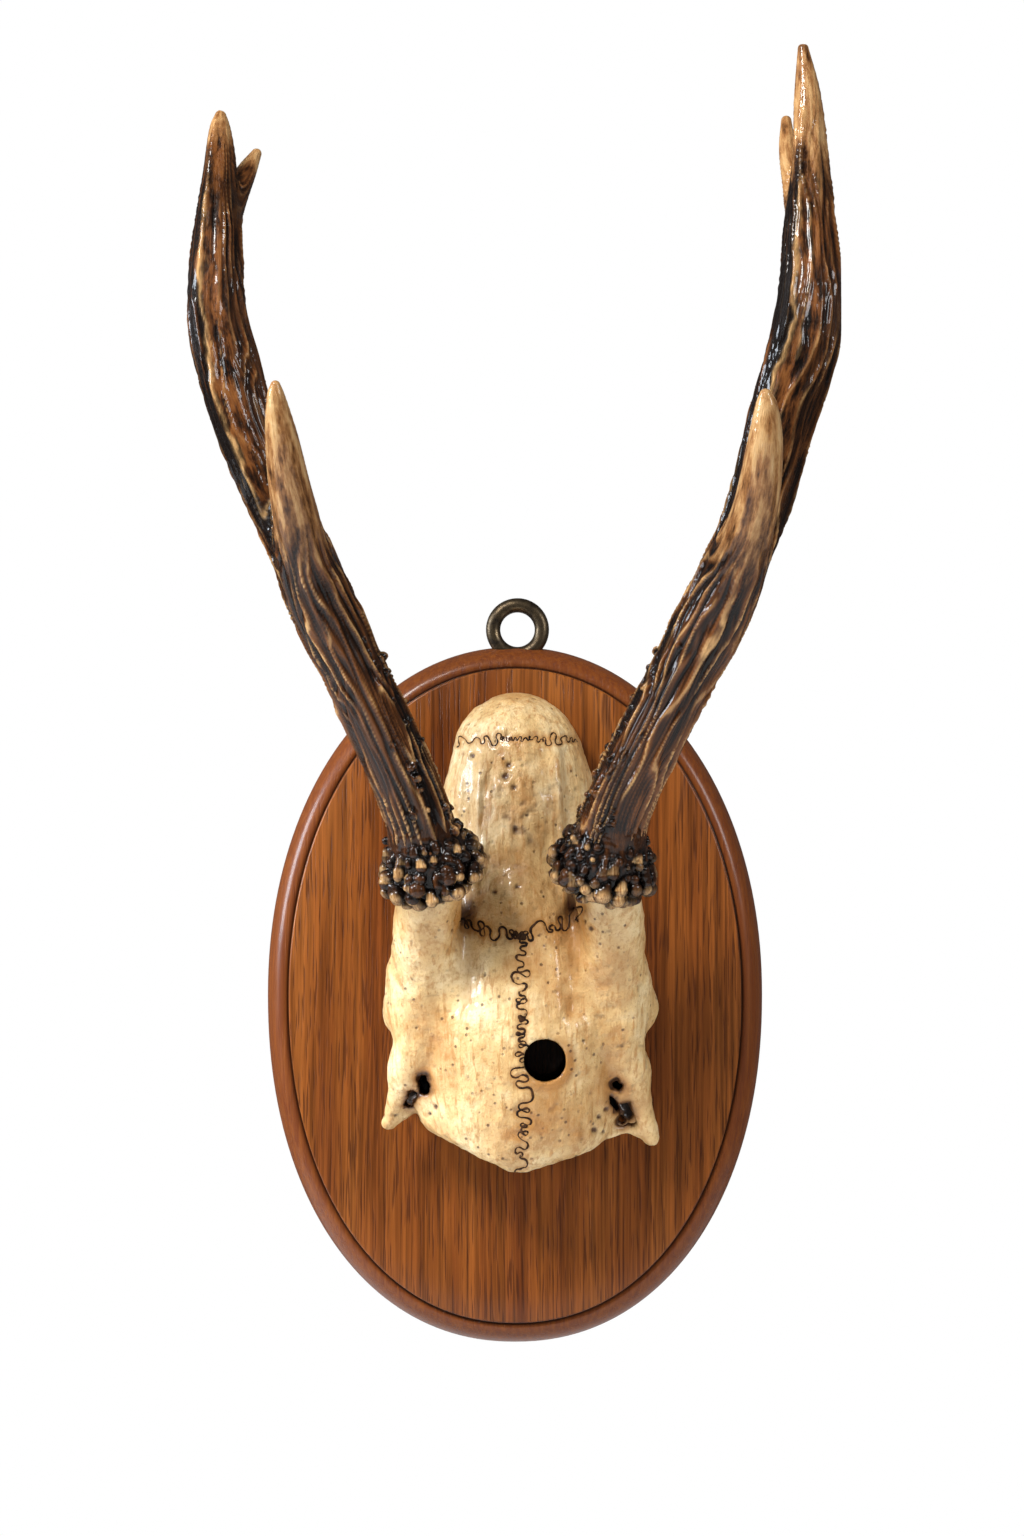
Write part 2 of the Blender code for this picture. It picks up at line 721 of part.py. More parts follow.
def burr_place(side):
    """The burr's centre, and the beam's direction as it leaves."""
    start, after = BEAMS[side][0], BEAMS[side][1]
    centre = Vector(start[:3]) * MM
    return centre, (Vector(after[:3]) * MM - centre).normalized()


def pearl_balls(side):
    """The knobs of the burr, in rows, and the smaller ones that climb the beam's inner side."""
    draw = np.random.default_rng(20 + side)
    centre, axis = burr_place(side)
    inward = Vector((-side, 0, 0))
    inward = (inward - axis * inward.dot(axis)).normalized()
    front = axis.cross(inward)
    pearls = []
    for count, rise, spread, size in PEARL_ROWS:
        for i in range(count):
            turn = 2 * math.pi * (i + draw.uniform(-0.25, 0.25)) / count + rise
            way = inward * math.cos(turn) + front * math.sin(turn)
            radius = size * draw.uniform(0.82, 1.2)
            place = centre + way * BURR_RADIUS * spread + axis * (rise + draw.uniform(-0.5, 0.5)) * MM
            pearls.append(Ball(np.array(place) / MM, (radius, radius, radius * 1.15)))
    beam = smooth_curve(np.array(BEAMS[side]) * MM, 8)
    for i in range(CLIMBING_PEARLS):
        station = beam[3 + int(i * 12 / CLIMBING_PEARLS)]
        turn = draw.uniform(-1.25, 1.25)
        way = inward * math.cos(turn) + front * math.sin(turn)
        radius = draw.uniform(1.4, 2.0)
        place = Vector(station[:3]) + way * (station[3] - 0.5 * MM)
        pearls.append(Ball(np.array(place) / MM, (radius, radius, radius * 1.3)))
    return pearls


def antler_form(side):
    """The beam with its tines and its burr."""
    centre, axis = burr_place(side)
    low, high = (centre + axis * BURR_HALF_HEIGHT * way for way in (-1, 1))
    tines = Fused([Limb(BEAMS[side]), Limb(FRONT_TINES[side])], 6)
    tines = Fused([tines, Limb(REAR_TINES[side])], 3)
    disc = Limb([(*(p / MM), 10.8) for p in (low, centre, high)], 2)
    return Fused([tines, disc] + pearl_balls(side), 1.0)


def add_ridges(obj, side):
    """Raises long ridges along the beam, which fade out on the tines' tips."""
    points = corners(obj.data)
    beam = smooth_curve(np.array(BEAMS[side]) * MM, 8)
    nearest = np.linalg.norm(points[:, None, :] - beam[None, :, :3], axis=2).argmin(axis=1)
    normals = np.empty(len(points) * 3, np.float32)
    obj.data.vertices.foreach_get("normal", normals)
    normals = normals.reshape(-1, 3)
    axis = np.gradient(beam[:, :3], axis=0)[nearest]
    axis /= np.linalg.norm(axis, axis=1)[:, None]
    off = points - beam[nearest, :3]
    level = np.cross(axis, (0.0, 1.0, 0.0))
    turn = np.arctan2((off * level).sum(axis=1), (off * np.cross(axis, level)).sum(axis=1))
    along = nearest / len(beam)
    waves = np.cos(9 * turn + 7 * along) + 0.6 * np.cos(5 * turn - 11 * along + 1.3)
    fade = np.clip((0.86 - along) / 0.2, 0, 1) * np.clip((along - 0.03) / 0.05, 0, 1)
    reach = np.linalg.norm(off, axis=1)
    fade *= np.clip(1.6 - reach / (beam[nearest, 3] + 0.5 * MM), 0, 1)
    set_corners(obj.data, points + normals * (RIDGE_HEIGHT * waves * fade)[:, None])


def beam_at(side, height):
    """The beam's point, direction and radius where it passes a height."""
    beam = smooth_curve(np.array(BEAMS[side]) * MM, 8)
    i = int(np.abs(beam[:, 2] - height * MM).argmin())
    axis = Vector(beam[i + 1, :3] - beam[i - 1, :3]).normalized()
    return Vector(beam[i, :3]), axis, beam[i, 3]


def sheet_across(name, centre, axis, size):
    """A thin square sheet across an axis."""
    first = Vector(axis).orthogonal()
    return block(name, centre, (first, Vector(axis).cross(first), axis), (size, size, GAP))


def web_sheet(name, centre, along, first, second, size):
    """A thin sheet that rises from a cut across a limb, between the two limbs it parts into."""
    middle = (Vector(first).normalized() + Vector(second).normalized()).normalized()
    across = Vector(along).cross(Vector(first)).normalized()
    normal = middle.cross(across).normalized()
    middle = across.cross(normal)
    reach = size / 2 - 0.3 * MM
    return block(name, centre + middle * reach, (middle, across, normal), (size, size, GAP))


def antler_cutters(side):
    """Sheets above the burr and at the two forks."""
    centre, axis = burr_place(side)
    cutters = [sheet_across("burr_cut", centre + axis * 6.5 * MM, axis, 44 * MM)]
    for height, tine, name in zip(FORK_CUTS[side], (FRONT_TINES[side], REAR_TINES[side]), ("fork", "top_fork")):
        point, along, radius = beam_at(side, height)
        cutters.append(sheet_across(name, point, along, 4.2 * radius))
        tine_way = Vector(tine[2][:3]) - Vector(tine[0][:3])
        beyond = beam_at(side, height + 30)[0] - point if name == "fork" else along
        cutters.append(web_sheet(f"{name}_web", point, along, tine_way, beyond, 6 * radius))
    return cutters


def build_antler(side):
    """One antler: its burr, lower and upper beam, and three tines."""
    name = f"antler_{SIDES[side]}"
    antler = modelled(name, antler_form(side), ANTLER_VOXEL)
    add_ridges(antler, side)
    thinned(antler, ANTLER_TRIANGLES)
    joined_or_cut(antler, [pedicle_plug(side)], "DIFFERENCE")
    joined_or_cut(antler, antler_cutters(side), "DIFFERENCE")
    centre, _ = burr_place(side)
    labels = {
        f"{name}_burr": centre,
        f"{name}_lower_beam": beam_at(side, 90)[0],
        f"{name}_upper_beam": beam_at(side, 190)[0],
        f"{name}_front_tine": Vector(FRONT_TINES[side][3][:3]) * MM,
        f"{name}_top_tine": Vector(BEAMS[side][-2][:3]) * MM,
        f"{name}_rear_tine": Vector(REAR_TINES[side][-1][:3]) * MM,
    }
    for part, obj in part_into(antler, labels).items():
        dressed(obj, "tine" if part.endswith("tine") else "antler")


def main():
    """Builds the trophy."""
    for obj in list(bpy.data.objects):
        bpy.data.objects.remove(obj)
    build_plaque()
    dressed(eye_shape("hanging_ring", 0.0), "bronze")
    build_skull()
    for side in (-1, 1):
        build_antler(side)


main()
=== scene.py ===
"""The looks of a roe deer trophy: skull and antlers on an oval wooden plaque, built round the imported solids.

Bone and antler are modelled as rounded forms that run into one another. Each form knows its distance from
any point, so a fine skin can be drawn onto its surface, and its relief is then raised point by point.
"""

import logging
import math
from dataclasses import dataclass, field
from enum import Enum
from typing import Callable, Sequence

import bmesh
import bpy
import numpy as np
from mathutils import Matrix, Vector


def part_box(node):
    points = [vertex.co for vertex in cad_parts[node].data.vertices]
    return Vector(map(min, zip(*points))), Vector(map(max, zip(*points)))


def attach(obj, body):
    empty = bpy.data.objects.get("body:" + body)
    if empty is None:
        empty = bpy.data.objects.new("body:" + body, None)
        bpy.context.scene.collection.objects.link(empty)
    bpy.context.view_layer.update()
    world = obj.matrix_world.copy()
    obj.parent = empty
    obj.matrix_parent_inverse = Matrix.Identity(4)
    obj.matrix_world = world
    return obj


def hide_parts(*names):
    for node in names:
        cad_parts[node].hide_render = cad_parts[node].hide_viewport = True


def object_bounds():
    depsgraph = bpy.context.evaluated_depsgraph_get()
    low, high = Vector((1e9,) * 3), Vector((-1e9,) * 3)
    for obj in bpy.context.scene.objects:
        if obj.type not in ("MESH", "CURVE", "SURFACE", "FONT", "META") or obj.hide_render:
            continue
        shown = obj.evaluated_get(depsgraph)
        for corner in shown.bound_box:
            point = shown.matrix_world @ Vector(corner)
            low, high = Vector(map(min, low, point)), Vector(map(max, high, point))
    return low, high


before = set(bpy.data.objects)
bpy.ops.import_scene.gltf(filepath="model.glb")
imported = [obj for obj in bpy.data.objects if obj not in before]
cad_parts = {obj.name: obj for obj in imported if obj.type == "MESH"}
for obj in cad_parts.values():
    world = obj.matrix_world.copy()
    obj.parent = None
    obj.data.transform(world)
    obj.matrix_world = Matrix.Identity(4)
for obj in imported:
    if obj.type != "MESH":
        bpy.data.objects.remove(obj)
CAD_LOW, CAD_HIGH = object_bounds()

log = logging.getLogger("trophy")

MM = 0.001
Rows = np.ndarray
Colour = tuple[float, float, float]


class Side(Enum):
    """A side of the trophy, as the viewer sees it. The value is the sign of its x."""

    LEFT = -1
    RIGHT = 1

    @property
    def word(self) -> str:
        """The side's name in a node's name."""
        return self.name.lower()


# Noise and curves


def lattice_noise(points: Rows, seed: int) -> Rows:
    """Smooth noise between -1 and 1 on a lattice of unit cells.

    Args:
        points: Where it is read, one row each.
        seed: Picks the pattern.

    Returns:
        One value for each row.
    """
    cell = np.floor(points).astype(np.int64)
    part = points - cell
    ease = part**3 * (part * (part * 6 - 15) + 10)
    total = np.zeros(len(points))
    for corner in np.ndindex(2, 2, 2):
        offset = np.array(corner)
        x, y, z = (cell + offset).T
        code = (x * 73856093) ^ (y * 19349663) ^ (z * 83492791) ^ (seed * 2654435761)
        code = ((code ^ (code >> 15)) * 2246822519) & 0x7FFFFFFF
        code = ((code ^ (code >> 13)) * 3266489917) & 0x7FFFFFFF
        value = ((code ^ (code >> 16)) & 0xFFFF) / 32767.5 - 1
        total += value * np.where(offset == 1, ease, 1 - ease).prod(axis=1)
    return total


def layered_noise(points: Rows, seed: int, layers: int = 3) -> Rows:
    """Noise with finer and weaker layers added.

    Args:
        points: Where it is read.
        seed: Picks the pattern.
        layers: How many layers, each twice as fine as the one before.

    Returns:
        One value for each row, mostly between -1 and 1.
    """
    total = np.zeros(len(points))
    for layer in range(layers):
        total += lattice_noise(points * 2**layer + 17.3 * layer, seed + layer) * 0.5**layer
    return total


def smooth_curve(stations: Rows, steps: int) -> Rows:
    """Rows on a Catmull-Rom curve through all the stations.

    Args:
        stations: The rows it passes through.
        steps: Rows from one station to the next.

    Returns:
        The curve's rows.
    """
    rows = np.vstack([2 * stations[0] - stations[1], stations, 2 * stations[-1] - stations[-2]])
    curve = []
    for a, b, c, d in zip(rows, rows[1:], rows[2:], rows[3:]):
        for t in np.arange(steps) / steps:
            bend = (2 * a - 5 * b + 4 * c - d) * t**2 + (3 * b - a - 3 * c + d) * t**3
            curve.append(0.5 * (2 * b + (c - a) * t + bend))
    curve.append(stations[-1])
    return np.array(curve)


def soft_least(a: Rows, b: Rows, blend: float) -> Rows:
    """The smaller of two distances, rounded where they are within a blend width."""
    share = np.clip(0.5 + 0.5 * (b - a) / blend, 0, 1)
    return b + (a - b) * share - blend * share * (1 - share)


def rising(values: Rows, low: float, high: float) -> Rows:
    """An eased step from 0 at low to 1 at high."""
    share = np.clip((values - low) / (high - low), 0, 1)
    return share * share * (3 - 2 * share)


# Forms


class Form:
    """A rounded body that gives its distance from any point."""

    def distance(self, points: Rows) -> Rows:
        """The distance from each point, negative inside."""
        raise NotImplementedError

    def balls(self) -> list[tuple[Rows, Rows]]:
        """Centres and radii of ellipsoids that fill the body."""
        raise NotImplementedError

    def fill(self, bm: bmesh.types.BMesh) -> None:
        """Adds closed shapes that fill the body.

        Args:
            bm: The mesh that they are added to.
        """
        for centre, radii in self.balls():
            place = Matrix.Translation(centre) @ Matrix.Diagonal((*radii, 1.0))
            bmesh.ops.create_icosphere(bm, subdivisions=2, radius=1.0, matrix=place)


class Ball(Form):
    """An ellipsoid, with its centre and radii in millimetres."""

    def __init__(self, centre: Sequence[float], radii: Sequence[float]) -> None:
        """Keeps the centre and the radii in metres."""
        self.centre = np.array(centre) * MM
        self.radii = np.array(radii) * MM

    def distance(self, points: Rows) -> Rows:
        """The distance from each point, negative inside.

        Args:
            points: Places in metres.

        Returns:
            One distance for each point.
        """
        scaled = (points - self.centre) / self.radii
        reach = np.linalg.norm(scaled, axis=1)
        slope = np.maximum(np.linalg.norm(scaled / self.radii, axis=1), 1e-9)
        return reach * (reach - 1) / slope

    def balls(self) -> list[tuple[Rows, Rows]]:
        """The ellipsoid itself."""
        return [(self.centre, self.radii)]


class Limb(Form):
    """A tapering limb along a smooth curve through (x, y, z, radius) stations in millimetres."""

    def __init__(self, stations: Sequence[Sequence[float]], steps: int = 5) -> None:
        """Samples the curve."""
        self.samples = smooth_curve(np.array(stations) * MM, steps)

    def distance(self, points: Rows) -> Rows:
        """The distance from each point, negative inside.

        Args:
            points: Places in metres.

        Returns:
            One distance for each point.
        """
        best = np.full(len(points), 1.0)
        for start, end in zip(self.samples, self.samples[1:]):
            axis = end[:3] - start[:3]
            off = points - start[:3]
            along = np.clip((off @ axis) / (axis @ axis), 0, 1)
            off -= along[:, None] * axis
            away = np.sqrt(np.einsum("ij,ij->i", off, off))
            best = np.minimum(best, away - start[3] - (end[3] - start[3]) * along)
        return best

    def balls(self) -> list[tuple[Rows, Rows]]:
        """A ball at each sample."""
        return [(row[:3], np.full(3, row[3])) for row in self.samples]


class Slot(Form):
    """A ragged, round-ended opening between two (x, z) places, from one y to another, in millimetres."""

    sides: int = 32
    grain: float = 1.9 * MM

    def __init__(
        self,
        start: tuple[float, float],
        end: tuple[float, float],
        radius: float,
        back: float,
        front: float,
        ragged: float = 0.0,
    ) -> None:
        """Keeps the sizes in metres.

        Args:
            start: One end's centre.
            end: The other end's centre.
            radius: Half its width.
            back: Its y at the back.
            front: Its y at the front.
            ragged: How far its wall wanders.
        """
        self.start = np.array(start) * MM
        self.way = np.array(end) * MM - self.start
        self.radius = radius * MM
        self.back, self.front = back * MM, front * MM
        self.ragged = ragged * MM

    def beside(self, points: Rows) -> Rows:
        """The distance from its wall, seen from the front.

        Args:
            points: Places in metres.

        Returns:
            One distance for each point.
        """
        off = points[:, [0, 2]] - self.start
        share = np.clip(off @ self.way / (self.way @ self.way), 0, 1)
        side = np.linalg.norm(off - share[:, None] * self.way, axis=1) - self.radius
        if self.ragged:
            side += layered_noise(points / self.grain, 91, 2) * self.ragged
        return side

    def distance(self, points: Rows) -> Rows:
        """The distance from each point, negative inside."""
        ends = np.maximum(points[:, 1] - self.back, self.front - points[:, 1])
        return np.maximum(self.beside(points), ends)

    def fill(self, bm: bmesh.types.BMesh) -> None:
        """A round-ended prism.

        Args:
            bm: The mesh that it is added to.
        """
        length = np.linalg.norm(self.way)
        along = self.way / length
        level = np.array((-along[1], along[0]))
        rings = []
        for y in (self.back, self.front):
            ring = []
            for step in range(self.sides):
                turn = 2 * math.pi * (step + 0.5) / self.sides
                base = self.start + (self.way if math.cos(turn) > 0 else 0)
                x, z = base + self.radius * (math.cos(turn) * along + math.sin(turn) * level)
                ring.append(bm.verts.new((x, y, z)))
            rings.append(ring)
        for i in range(self.sides):
            j = (i + 1) % self.sides
            bm.faces.new((rings[0][i], rings[0][j], rings[1][j], rings[1][i]))
        bm.faces.new(rings[1])
        bm.faces.new(list(reversed(rings[0])))
        bmesh.ops.recalc_face_normals(bm, faces=bm.faces)


class Fused(Form):
    """Forms that run into one another over a blend width in millimetres."""

    def __init__(self, parts: Sequence[Form], blend: float) -> None:
        """Keeps the parts."""
        self.parts = list(parts)
        self.blend = blend * MM

    def distance(self, points: Rows) -> Rows:
        """The distance from each point, negative inside.

        Args:
            points: Places in metres.

        Returns:
            One distance for each point.
        """
        total = self.parts[0].distance(points)
        for part in self.parts[1:]:
            total = soft_least(total, part.distance(points), self.blend)
        return total

    def balls(self) -> list[tuple[Rows, Rows]]:
        """The parts' balls."""
        return [ball for part in self.parts for ball in part.balls()]


class Studded(Form):
    """A form with many small balls set into it."""

    reach: float = 3 * MM

    def __init__(self, form: Form, studs: Rows, blend: float) -> None:
        """Keeps the form and the studs.

        Args:
            form: The form.
            studs: Rows of (x, y, z, radius) in metres.
            blend: The blend's width in millimetres.
        """
        self.form = form
        self.studs = studs
        self.blend = blend * MM

    def distance(self, points: Rows) -> Rows:
        """The distance from each point, negative inside.

        Args:
            points: Places in metres.

        Returns:
            One distance for each point.
        """
        total = self.form.distance(points)
        for stud in self.studs:
            room = stud[3] + self.reach
            near = np.flatnonzero(np.abs(points[:, 2] - stud[2]) < room)
            near = near[np.abs(points[near] - stud[:3]).max(axis=1) < room]
            if len(near):
                off = np.linalg.norm(points[near] - stud[:3], axis=1) - stud[3]
                total[near] = soft_least(total[near], off, self.blend)
        return total

    def balls(self) -> list[tuple[Rows, Rows]]:
        """The form's balls and the studs."""
        return self.form.balls() + [(stud[:3], np.full(3, stud[3])) for stud in self.studs]


class Trimmed(Form):
    """A form cut back by planes, each a point and the way that is cut off, and by other forms."""

    def __init__(
        self,
        form: Form,
        planes: Sequence[tuple[Sequence[float], Sequence[float]]] = (),
        hollows: Sequence[Form] = (),
        blend: float = 1.0,
    ) -> None:
        """Keeps the form and what is cut from it.

        Args:
            form: The form that is cut.
            planes: Each plane's point and the way that is cut off.
            hollows: Forms that are cut away.
            blend: The blend's width in millimetres.
        """
        self.form = form
        self.planes = [(np.array(p) * MM, np.array(n) / np.linalg.norm(n)) for p, n in planes]
        self.hollows = list(hollows)
        self.blend = blend * MM

    def distance(self, points: Rows) -> Rows:
        """The distance from each point, negative inside.

        Args:
            points: Places in metres.

        Returns:
            One distance for each point.
        """
        total = self.form.distance(points)
        for point, normal in self.planes:
            total = -soft_least(-total, -((points - point) @ normal), self.blend)
        for hollow in self.hollows:
            total = -soft_least(-total, hollow.distance(points), self.blend)
        return total

    def balls(self) -> list[tuple[Rows, Rows]]:
        """The form's balls."""
        return self.form.balls()


# Meshes


def new_object(name: str, mesh: bpy.types.Mesh) -> bpy.types.Object:
    """A mesh object in the scene.

    Args:
        name: Its name.
        mesh: Its mesh.

    Returns:
        The object.
    """
    obj = bpy.data.objects.new(name, mesh)
    bpy.context.scene.collection.objects.link(obj)
    return obj


def from_bmesh(name: str, bm: bmesh.types.BMesh) -> bpy.types.Object:
    """An object from a bmesh, which is freed.

    Args:
        name: Its name.
        bm: Its shape.

    Returns:
        The object.
    """
    mesh = bpy.data.meshes.new(name)
    bm.to_mesh(mesh)
    bm.free()
    return new_object(name, mesh)


def baked(obj: bpy.types.Object) -> bpy.types.Object:
    """The object with its modifiers applied.

    Args:
        obj: The object.

    Returns:
        The same object.
    """
    bpy.context.view_layer.update()
    graph = bpy.context.evaluated_depsgraph_get()
    mesh = bpy.data.meshes.new_from_object(obj.evaluated_get(graph))
    obj.modifiers.clear()
    old, obj.data = obj.data, mesh
    bpy.data.meshes.remove(old)
    mesh.name = obj.name
    return obj


def rows_of(items: bpy.types.bpy_prop_collection, key: str) -> Rows:
    """Three numbers of each item as rows.

    Args:
        items: A mesh's vertices or normals.
        key: The name of the three numbers.

    Returns:
        One row for each item.
    """
    rows = np.empty(len(items) * 3, np.float32)
    items.foreach_get(key, rows)
    return rows.reshape(-1, 3).astype(float)


def corners(mesh: bpy.types.Mesh) -> Rows:
    """The mesh's vertices as rows."""
    return rows_of(mesh.vertices, "co")


def vertex_normals(mesh: bpy.types.Mesh) -> Rows:
    """The mesh's vertex normals as rows."""
    return rows_of(mesh.vertex_normals, "vector")


def set_corners(mesh: bpy.types.Mesh, rows: Rows) -> None:
    """Moves the vertices to the rows, none past the solids' box.

    Args:
        mesh: The mesh.
        rows: A place for each vertex.
    """
    rows = np.clip(rows, np.array(CAD_LOW), np.array(CAD_HIGH))
    mesh.vertices.foreach_set("co", rows.astype(np.float32).ravel())
    mesh.update()


def keep_values(mesh: bpy.types.Mesh, **values: Rows) -> None:
    """Stores values or vectors for each vertex, for the material to read.

    Args:
        mesh: The mesh that carries them.
        values: By attribute name, one number or one row of three for each vertex.
    """
    for name, rows in values.items():
        kind, key = ("FLOAT", "value") if rows.ndim == 1 else ("FLOAT_VECTOR", "vector")
        layer = mesh.attributes.new(name, kind, "POINT")
        layer.data.foreach_set(key, rows.astype(np.float32).ravel())


def modified(obj: bpy.types.Object, kind: str, **settings: object) -> bpy.types.Object:
    """The object with one more modifier, applied.

    Args:
        obj: The object.
        kind: The modifier's type.
        settings: Its settings by name.

    Returns:
        The same object.
    """
    made = obj.modifiers.new("step", kind)
    for name, value in settings.items():
        setattr(made, name, value)
    return baked(obj)


def remeshed(obj: bpy.types.Object, voxel: float) -> bpy.types.Object:
    """The object as one closed skin of even faces."""
    return modified(obj, "REMESH", mode="VOXEL", voxel_size=voxel)


def settle(mesh: bpy.types.Mesh, form: Form, passes: int) -> None:
    """Moves each vertex along the form's gradient onto its surface.

    Args:
        mesh: The mesh to move.
        form: The form whose surface it takes.
        passes: How many times it is moved.
    """
    points = corners(mesh)
    small = 0.02 * MM
    for _ in range(passes):
        here = form.distance(points)
        rise = [form.distance(points + way) - here for way in np.eye(3) * small]
        gradient = np.stack(rise, axis=1) / small
        size = np.maximum((gradient**2).sum(axis=1), 0.2)
        points -= gradient * np.clip(here / size, -2 * MM, 2 * MM)[:, None]
    mesh.vertices.foreach_set("co", points.astype(np.float32).ravel())
    mesh.update()


def skinned(
    name: str, form: Form, voxel: float, cutters: Callable[[], list[bpy.types.Object]] | None = None
) -> bpy.types.Object:
    """A fine closed skin on a form's surface.

    Args:
        name: The object's name.
        form: The form, whose balls fill it.
        voxel: The size of the skin's faces.
        cutters: Makes closed objects that are cut from the rough skin, where the form has openings.

    Returns:
        The object, without a material.
    """
    bm = bmesh.new()
    form.fill(bm)
    obj = remeshed(from_bmesh(name, bm), voxel)
    if cutters is not None:
        settle(obj.data, getattr(form, "form", form), 2)
        for tool in cutters():
            modified(obj, "BOOLEAN", operation="DIFFERENCE", solver="MANIFOLD", object=tool)
            bpy.data.objects.remove(tool)
        remeshed(obj, voxel)
    settle(obj.data, form, 2)
    modified(obj, "SMOOTH", factor=0.5, iterations=3)
    settle(obj.data, form, 1)
    return obj


def cavities(form: Form, points: Rows, normals: Rows, reach: float) -> Rows:
    """How closed in each place on a surface is, from 0 in the open to 1 in a cleft.

    Args:
        form: The form whose surface it is.
        points: The places.
        normals: The surface's directions there.
        reach: How far from the surface more of the form is felt.

    Returns:
        One value for each place.
    """
    return np.clip((reach - form.distance(points + normals * reach)) / reach, 0, 1)


def finished(
    obj: bpy.types.Object, material: bpy.types.Material, nodes: Sequence[str]
) -> bpy.types.Object:
    """Dresses a piece and ties it to the frame.

    Args:
        obj: The piece.
        material: Its material.
        nodes: The CAD nodes it stands for.

    Returns:
        The piece.
    """
    obj.data.materials.clear()
    obj.data.materials.append(material)
    obj.data.shade_smooth()
    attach(obj, "root")
    if nodes:
        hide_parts(*nodes)
    log.info("%s: %d vertices", obj.name, len(obj.data.vertices))
    return obj


# Materials


class Weave:
    """A material's node tree, built by short calls."""

    def __init__(self, name: str) -> None:
        """Starts the material with its shader.

        Args:
            name: The material's name.
        """
        self.material = bpy.data.materials.new(name)
        self.material.use_nodes = True
        self.tree = self.material.node_tree
        self.shader = self.tree.nodes["Principled BSDF"]

    def plug(self, socket: bpy.types.NodeSocket, source: object) -> None:
        """Links a node's first output or an output, or sets a plain value.

        Args:
            socket: The input.
            source: A node, an output socket, a number or a colour.
        """
        if isinstance(source, bpy.types.Node):
            self.tree.links.new(source.outputs[0], socket)
        elif isinstance(source, bpy.types.NodeSocket):
            self.tree.links.new(source, socket)
        elif source is not None:
            socket.default_value = source

    def node(self, kind: str, **inputs: object) -> bpy.types.Node:
        """A node with its inputs set or linked by name.

        Args:
            kind: The node's type.
            inputs: Values by input name, with spaces written as underscores.

        Returns:
            The node.
        """
        made = self.tree.nodes.new(kind)
        for name, source in inputs.items():
            self.plug(made.inputs[name.replace("_", " ")], source)
        return made

    def place(self, scale: Sequence[float] = (1, 1, 1), turn: Sequence[float] = (0, 0, 0)) -> bpy.types.Node:
        """Object coordinates, scaled and turned."""
        where = self.tree.nodes.new("ShaderNodeTexCoord").outputs["Object"]
        return self.node("ShaderNodeMapping", Vector=where, Scale=scale, Rotation=turn)

    def value(self, name: str, output: str = "Fac") -> bpy.types.NodeSocket:
        """A stored value of the mesh.

        Args:
            name: The attribute's name.
            output: Which of the node's outputs is read.

        Returns:
            The output.
        """
        made = self.tree.nodes.new("ShaderNodeAttribute")
        made.attribute_name = name
        return made.outputs[output]

    def vector(self, name: str, scale: Sequence[float]) -> bpy.types.Node:
        """A stored vector of the mesh, scaled."""
        return self.node("ShaderNodeMapping", Vector=self.value(name, "Vector"), Scale=scale)

    def noise(
        self, where: object, scale: float, detail: float = 4.0, rough: float = 0.55
    ) -> bpy.types.NodeSocket:
        """Noise between 0 and 1."""
        made = self.node("ShaderNodeTexNoise", Vector=where, Scale=scale, Detail=detail, Roughness=rough)
        return made.outputs["Fac"]

    def cells(self, where: object, scale: float) -> bpy.types.NodeSocket:
        """The distance to the nearest of scattered points."""
        return self.node("ShaderNodeTexVoronoi", Vector=where, Scale=scale).outputs["Distance"]

    def ramp(self, source: object, stops: Sequence[tuple[float, object]]) -> bpy.types.NodeSocket:
        """Colours or values by stops.

        Args:
            source: What it reads.
            stops: (position, colour or value) pairs.

        Returns:
            The colour output.
        """
        made = self.node("ShaderNodeValToRGB", Fac=source)
        points = made.color_ramp.elements
        while len(points) < len(stops):
            points.new(0.5)
        for point, (position, shade) in zip(points, stops):
            point.position = position
            point.color = (shade, shade, shade, 1) if isinstance(shade, (int, float)) else (*shade, 1)
        return made.outputs["Color"]

    def mix(self, share: object, low: object, high: object, way: str = "MIX") -> bpy.types.NodeSocket:
        """Two colours mixed.

        Args:
            share: How much of the second.
            low: The first colour, a socket or three numbers.
            high: The second colour.
            way: How they are mixed.

        Returns:
            The colour output.
        """
        made = self.tree.nodes.new("ShaderNodeMix")
        made.data_type = "RGBA"
        made.blend_type = way
        self.plug(made.inputs[0], share)
        for socket, source in ((made.inputs[6], low), (made.inputs[7], high)):
            self.plug(socket, (*source, 1) if isinstance(source, tuple) else source)
        return made.outputs[2]

    def math(self, way: str, *sources: object) -> bpy.types.NodeSocket:
        """One sum on values.

        Args:
            way: The operation.
            sources: Its inputs in order.

        Returns:
            The result.
        """
        made = self.tree.nodes.new("ShaderNodeMath")
        made.operation = way
        for socket, source in zip(made.inputs, sources):
            self.plug(socket, source)
        return made.outputs[0]

    def bump(self, height: object, depth: float, after: object = None) -> bpy.types.Node:
        """A bump of a depth in metres.

        Args:
            height: What raises it.
            depth: How high in metres.
            after: The bump that it adds to.

        Returns:
            The bump node.
        """
        made = self.node("ShaderNodeBump", Height=height, Strength=1.0, Distance=depth)
        self.plug(made.inputs["Normal"], after)
        return made

    def finish(
        self, colour: object, roughness: object, bump: object = None, **values: object
    ) -> bpy.types.Material:
        """Sets the shader.

        Args:
            colour: The base colour.
            roughness: The roughness.
            bump: The last bump node.
            values: Other inputs of the shader, with spaces written as underscores.

        Returns:
            The material.
        """
        self.plug(self.shader.inputs["Base Color"], (*colour, 1) if isinstance(colour, tuple) else colour)
        self.plug(self.shader.inputs["Roughness"], roughness)
        self.plug(self.shader.inputs["Normal"], bump)
        for name, value in values.items():
            self.plug(self.shader.inputs[name.replace("_", " ")], value)
        return self.material


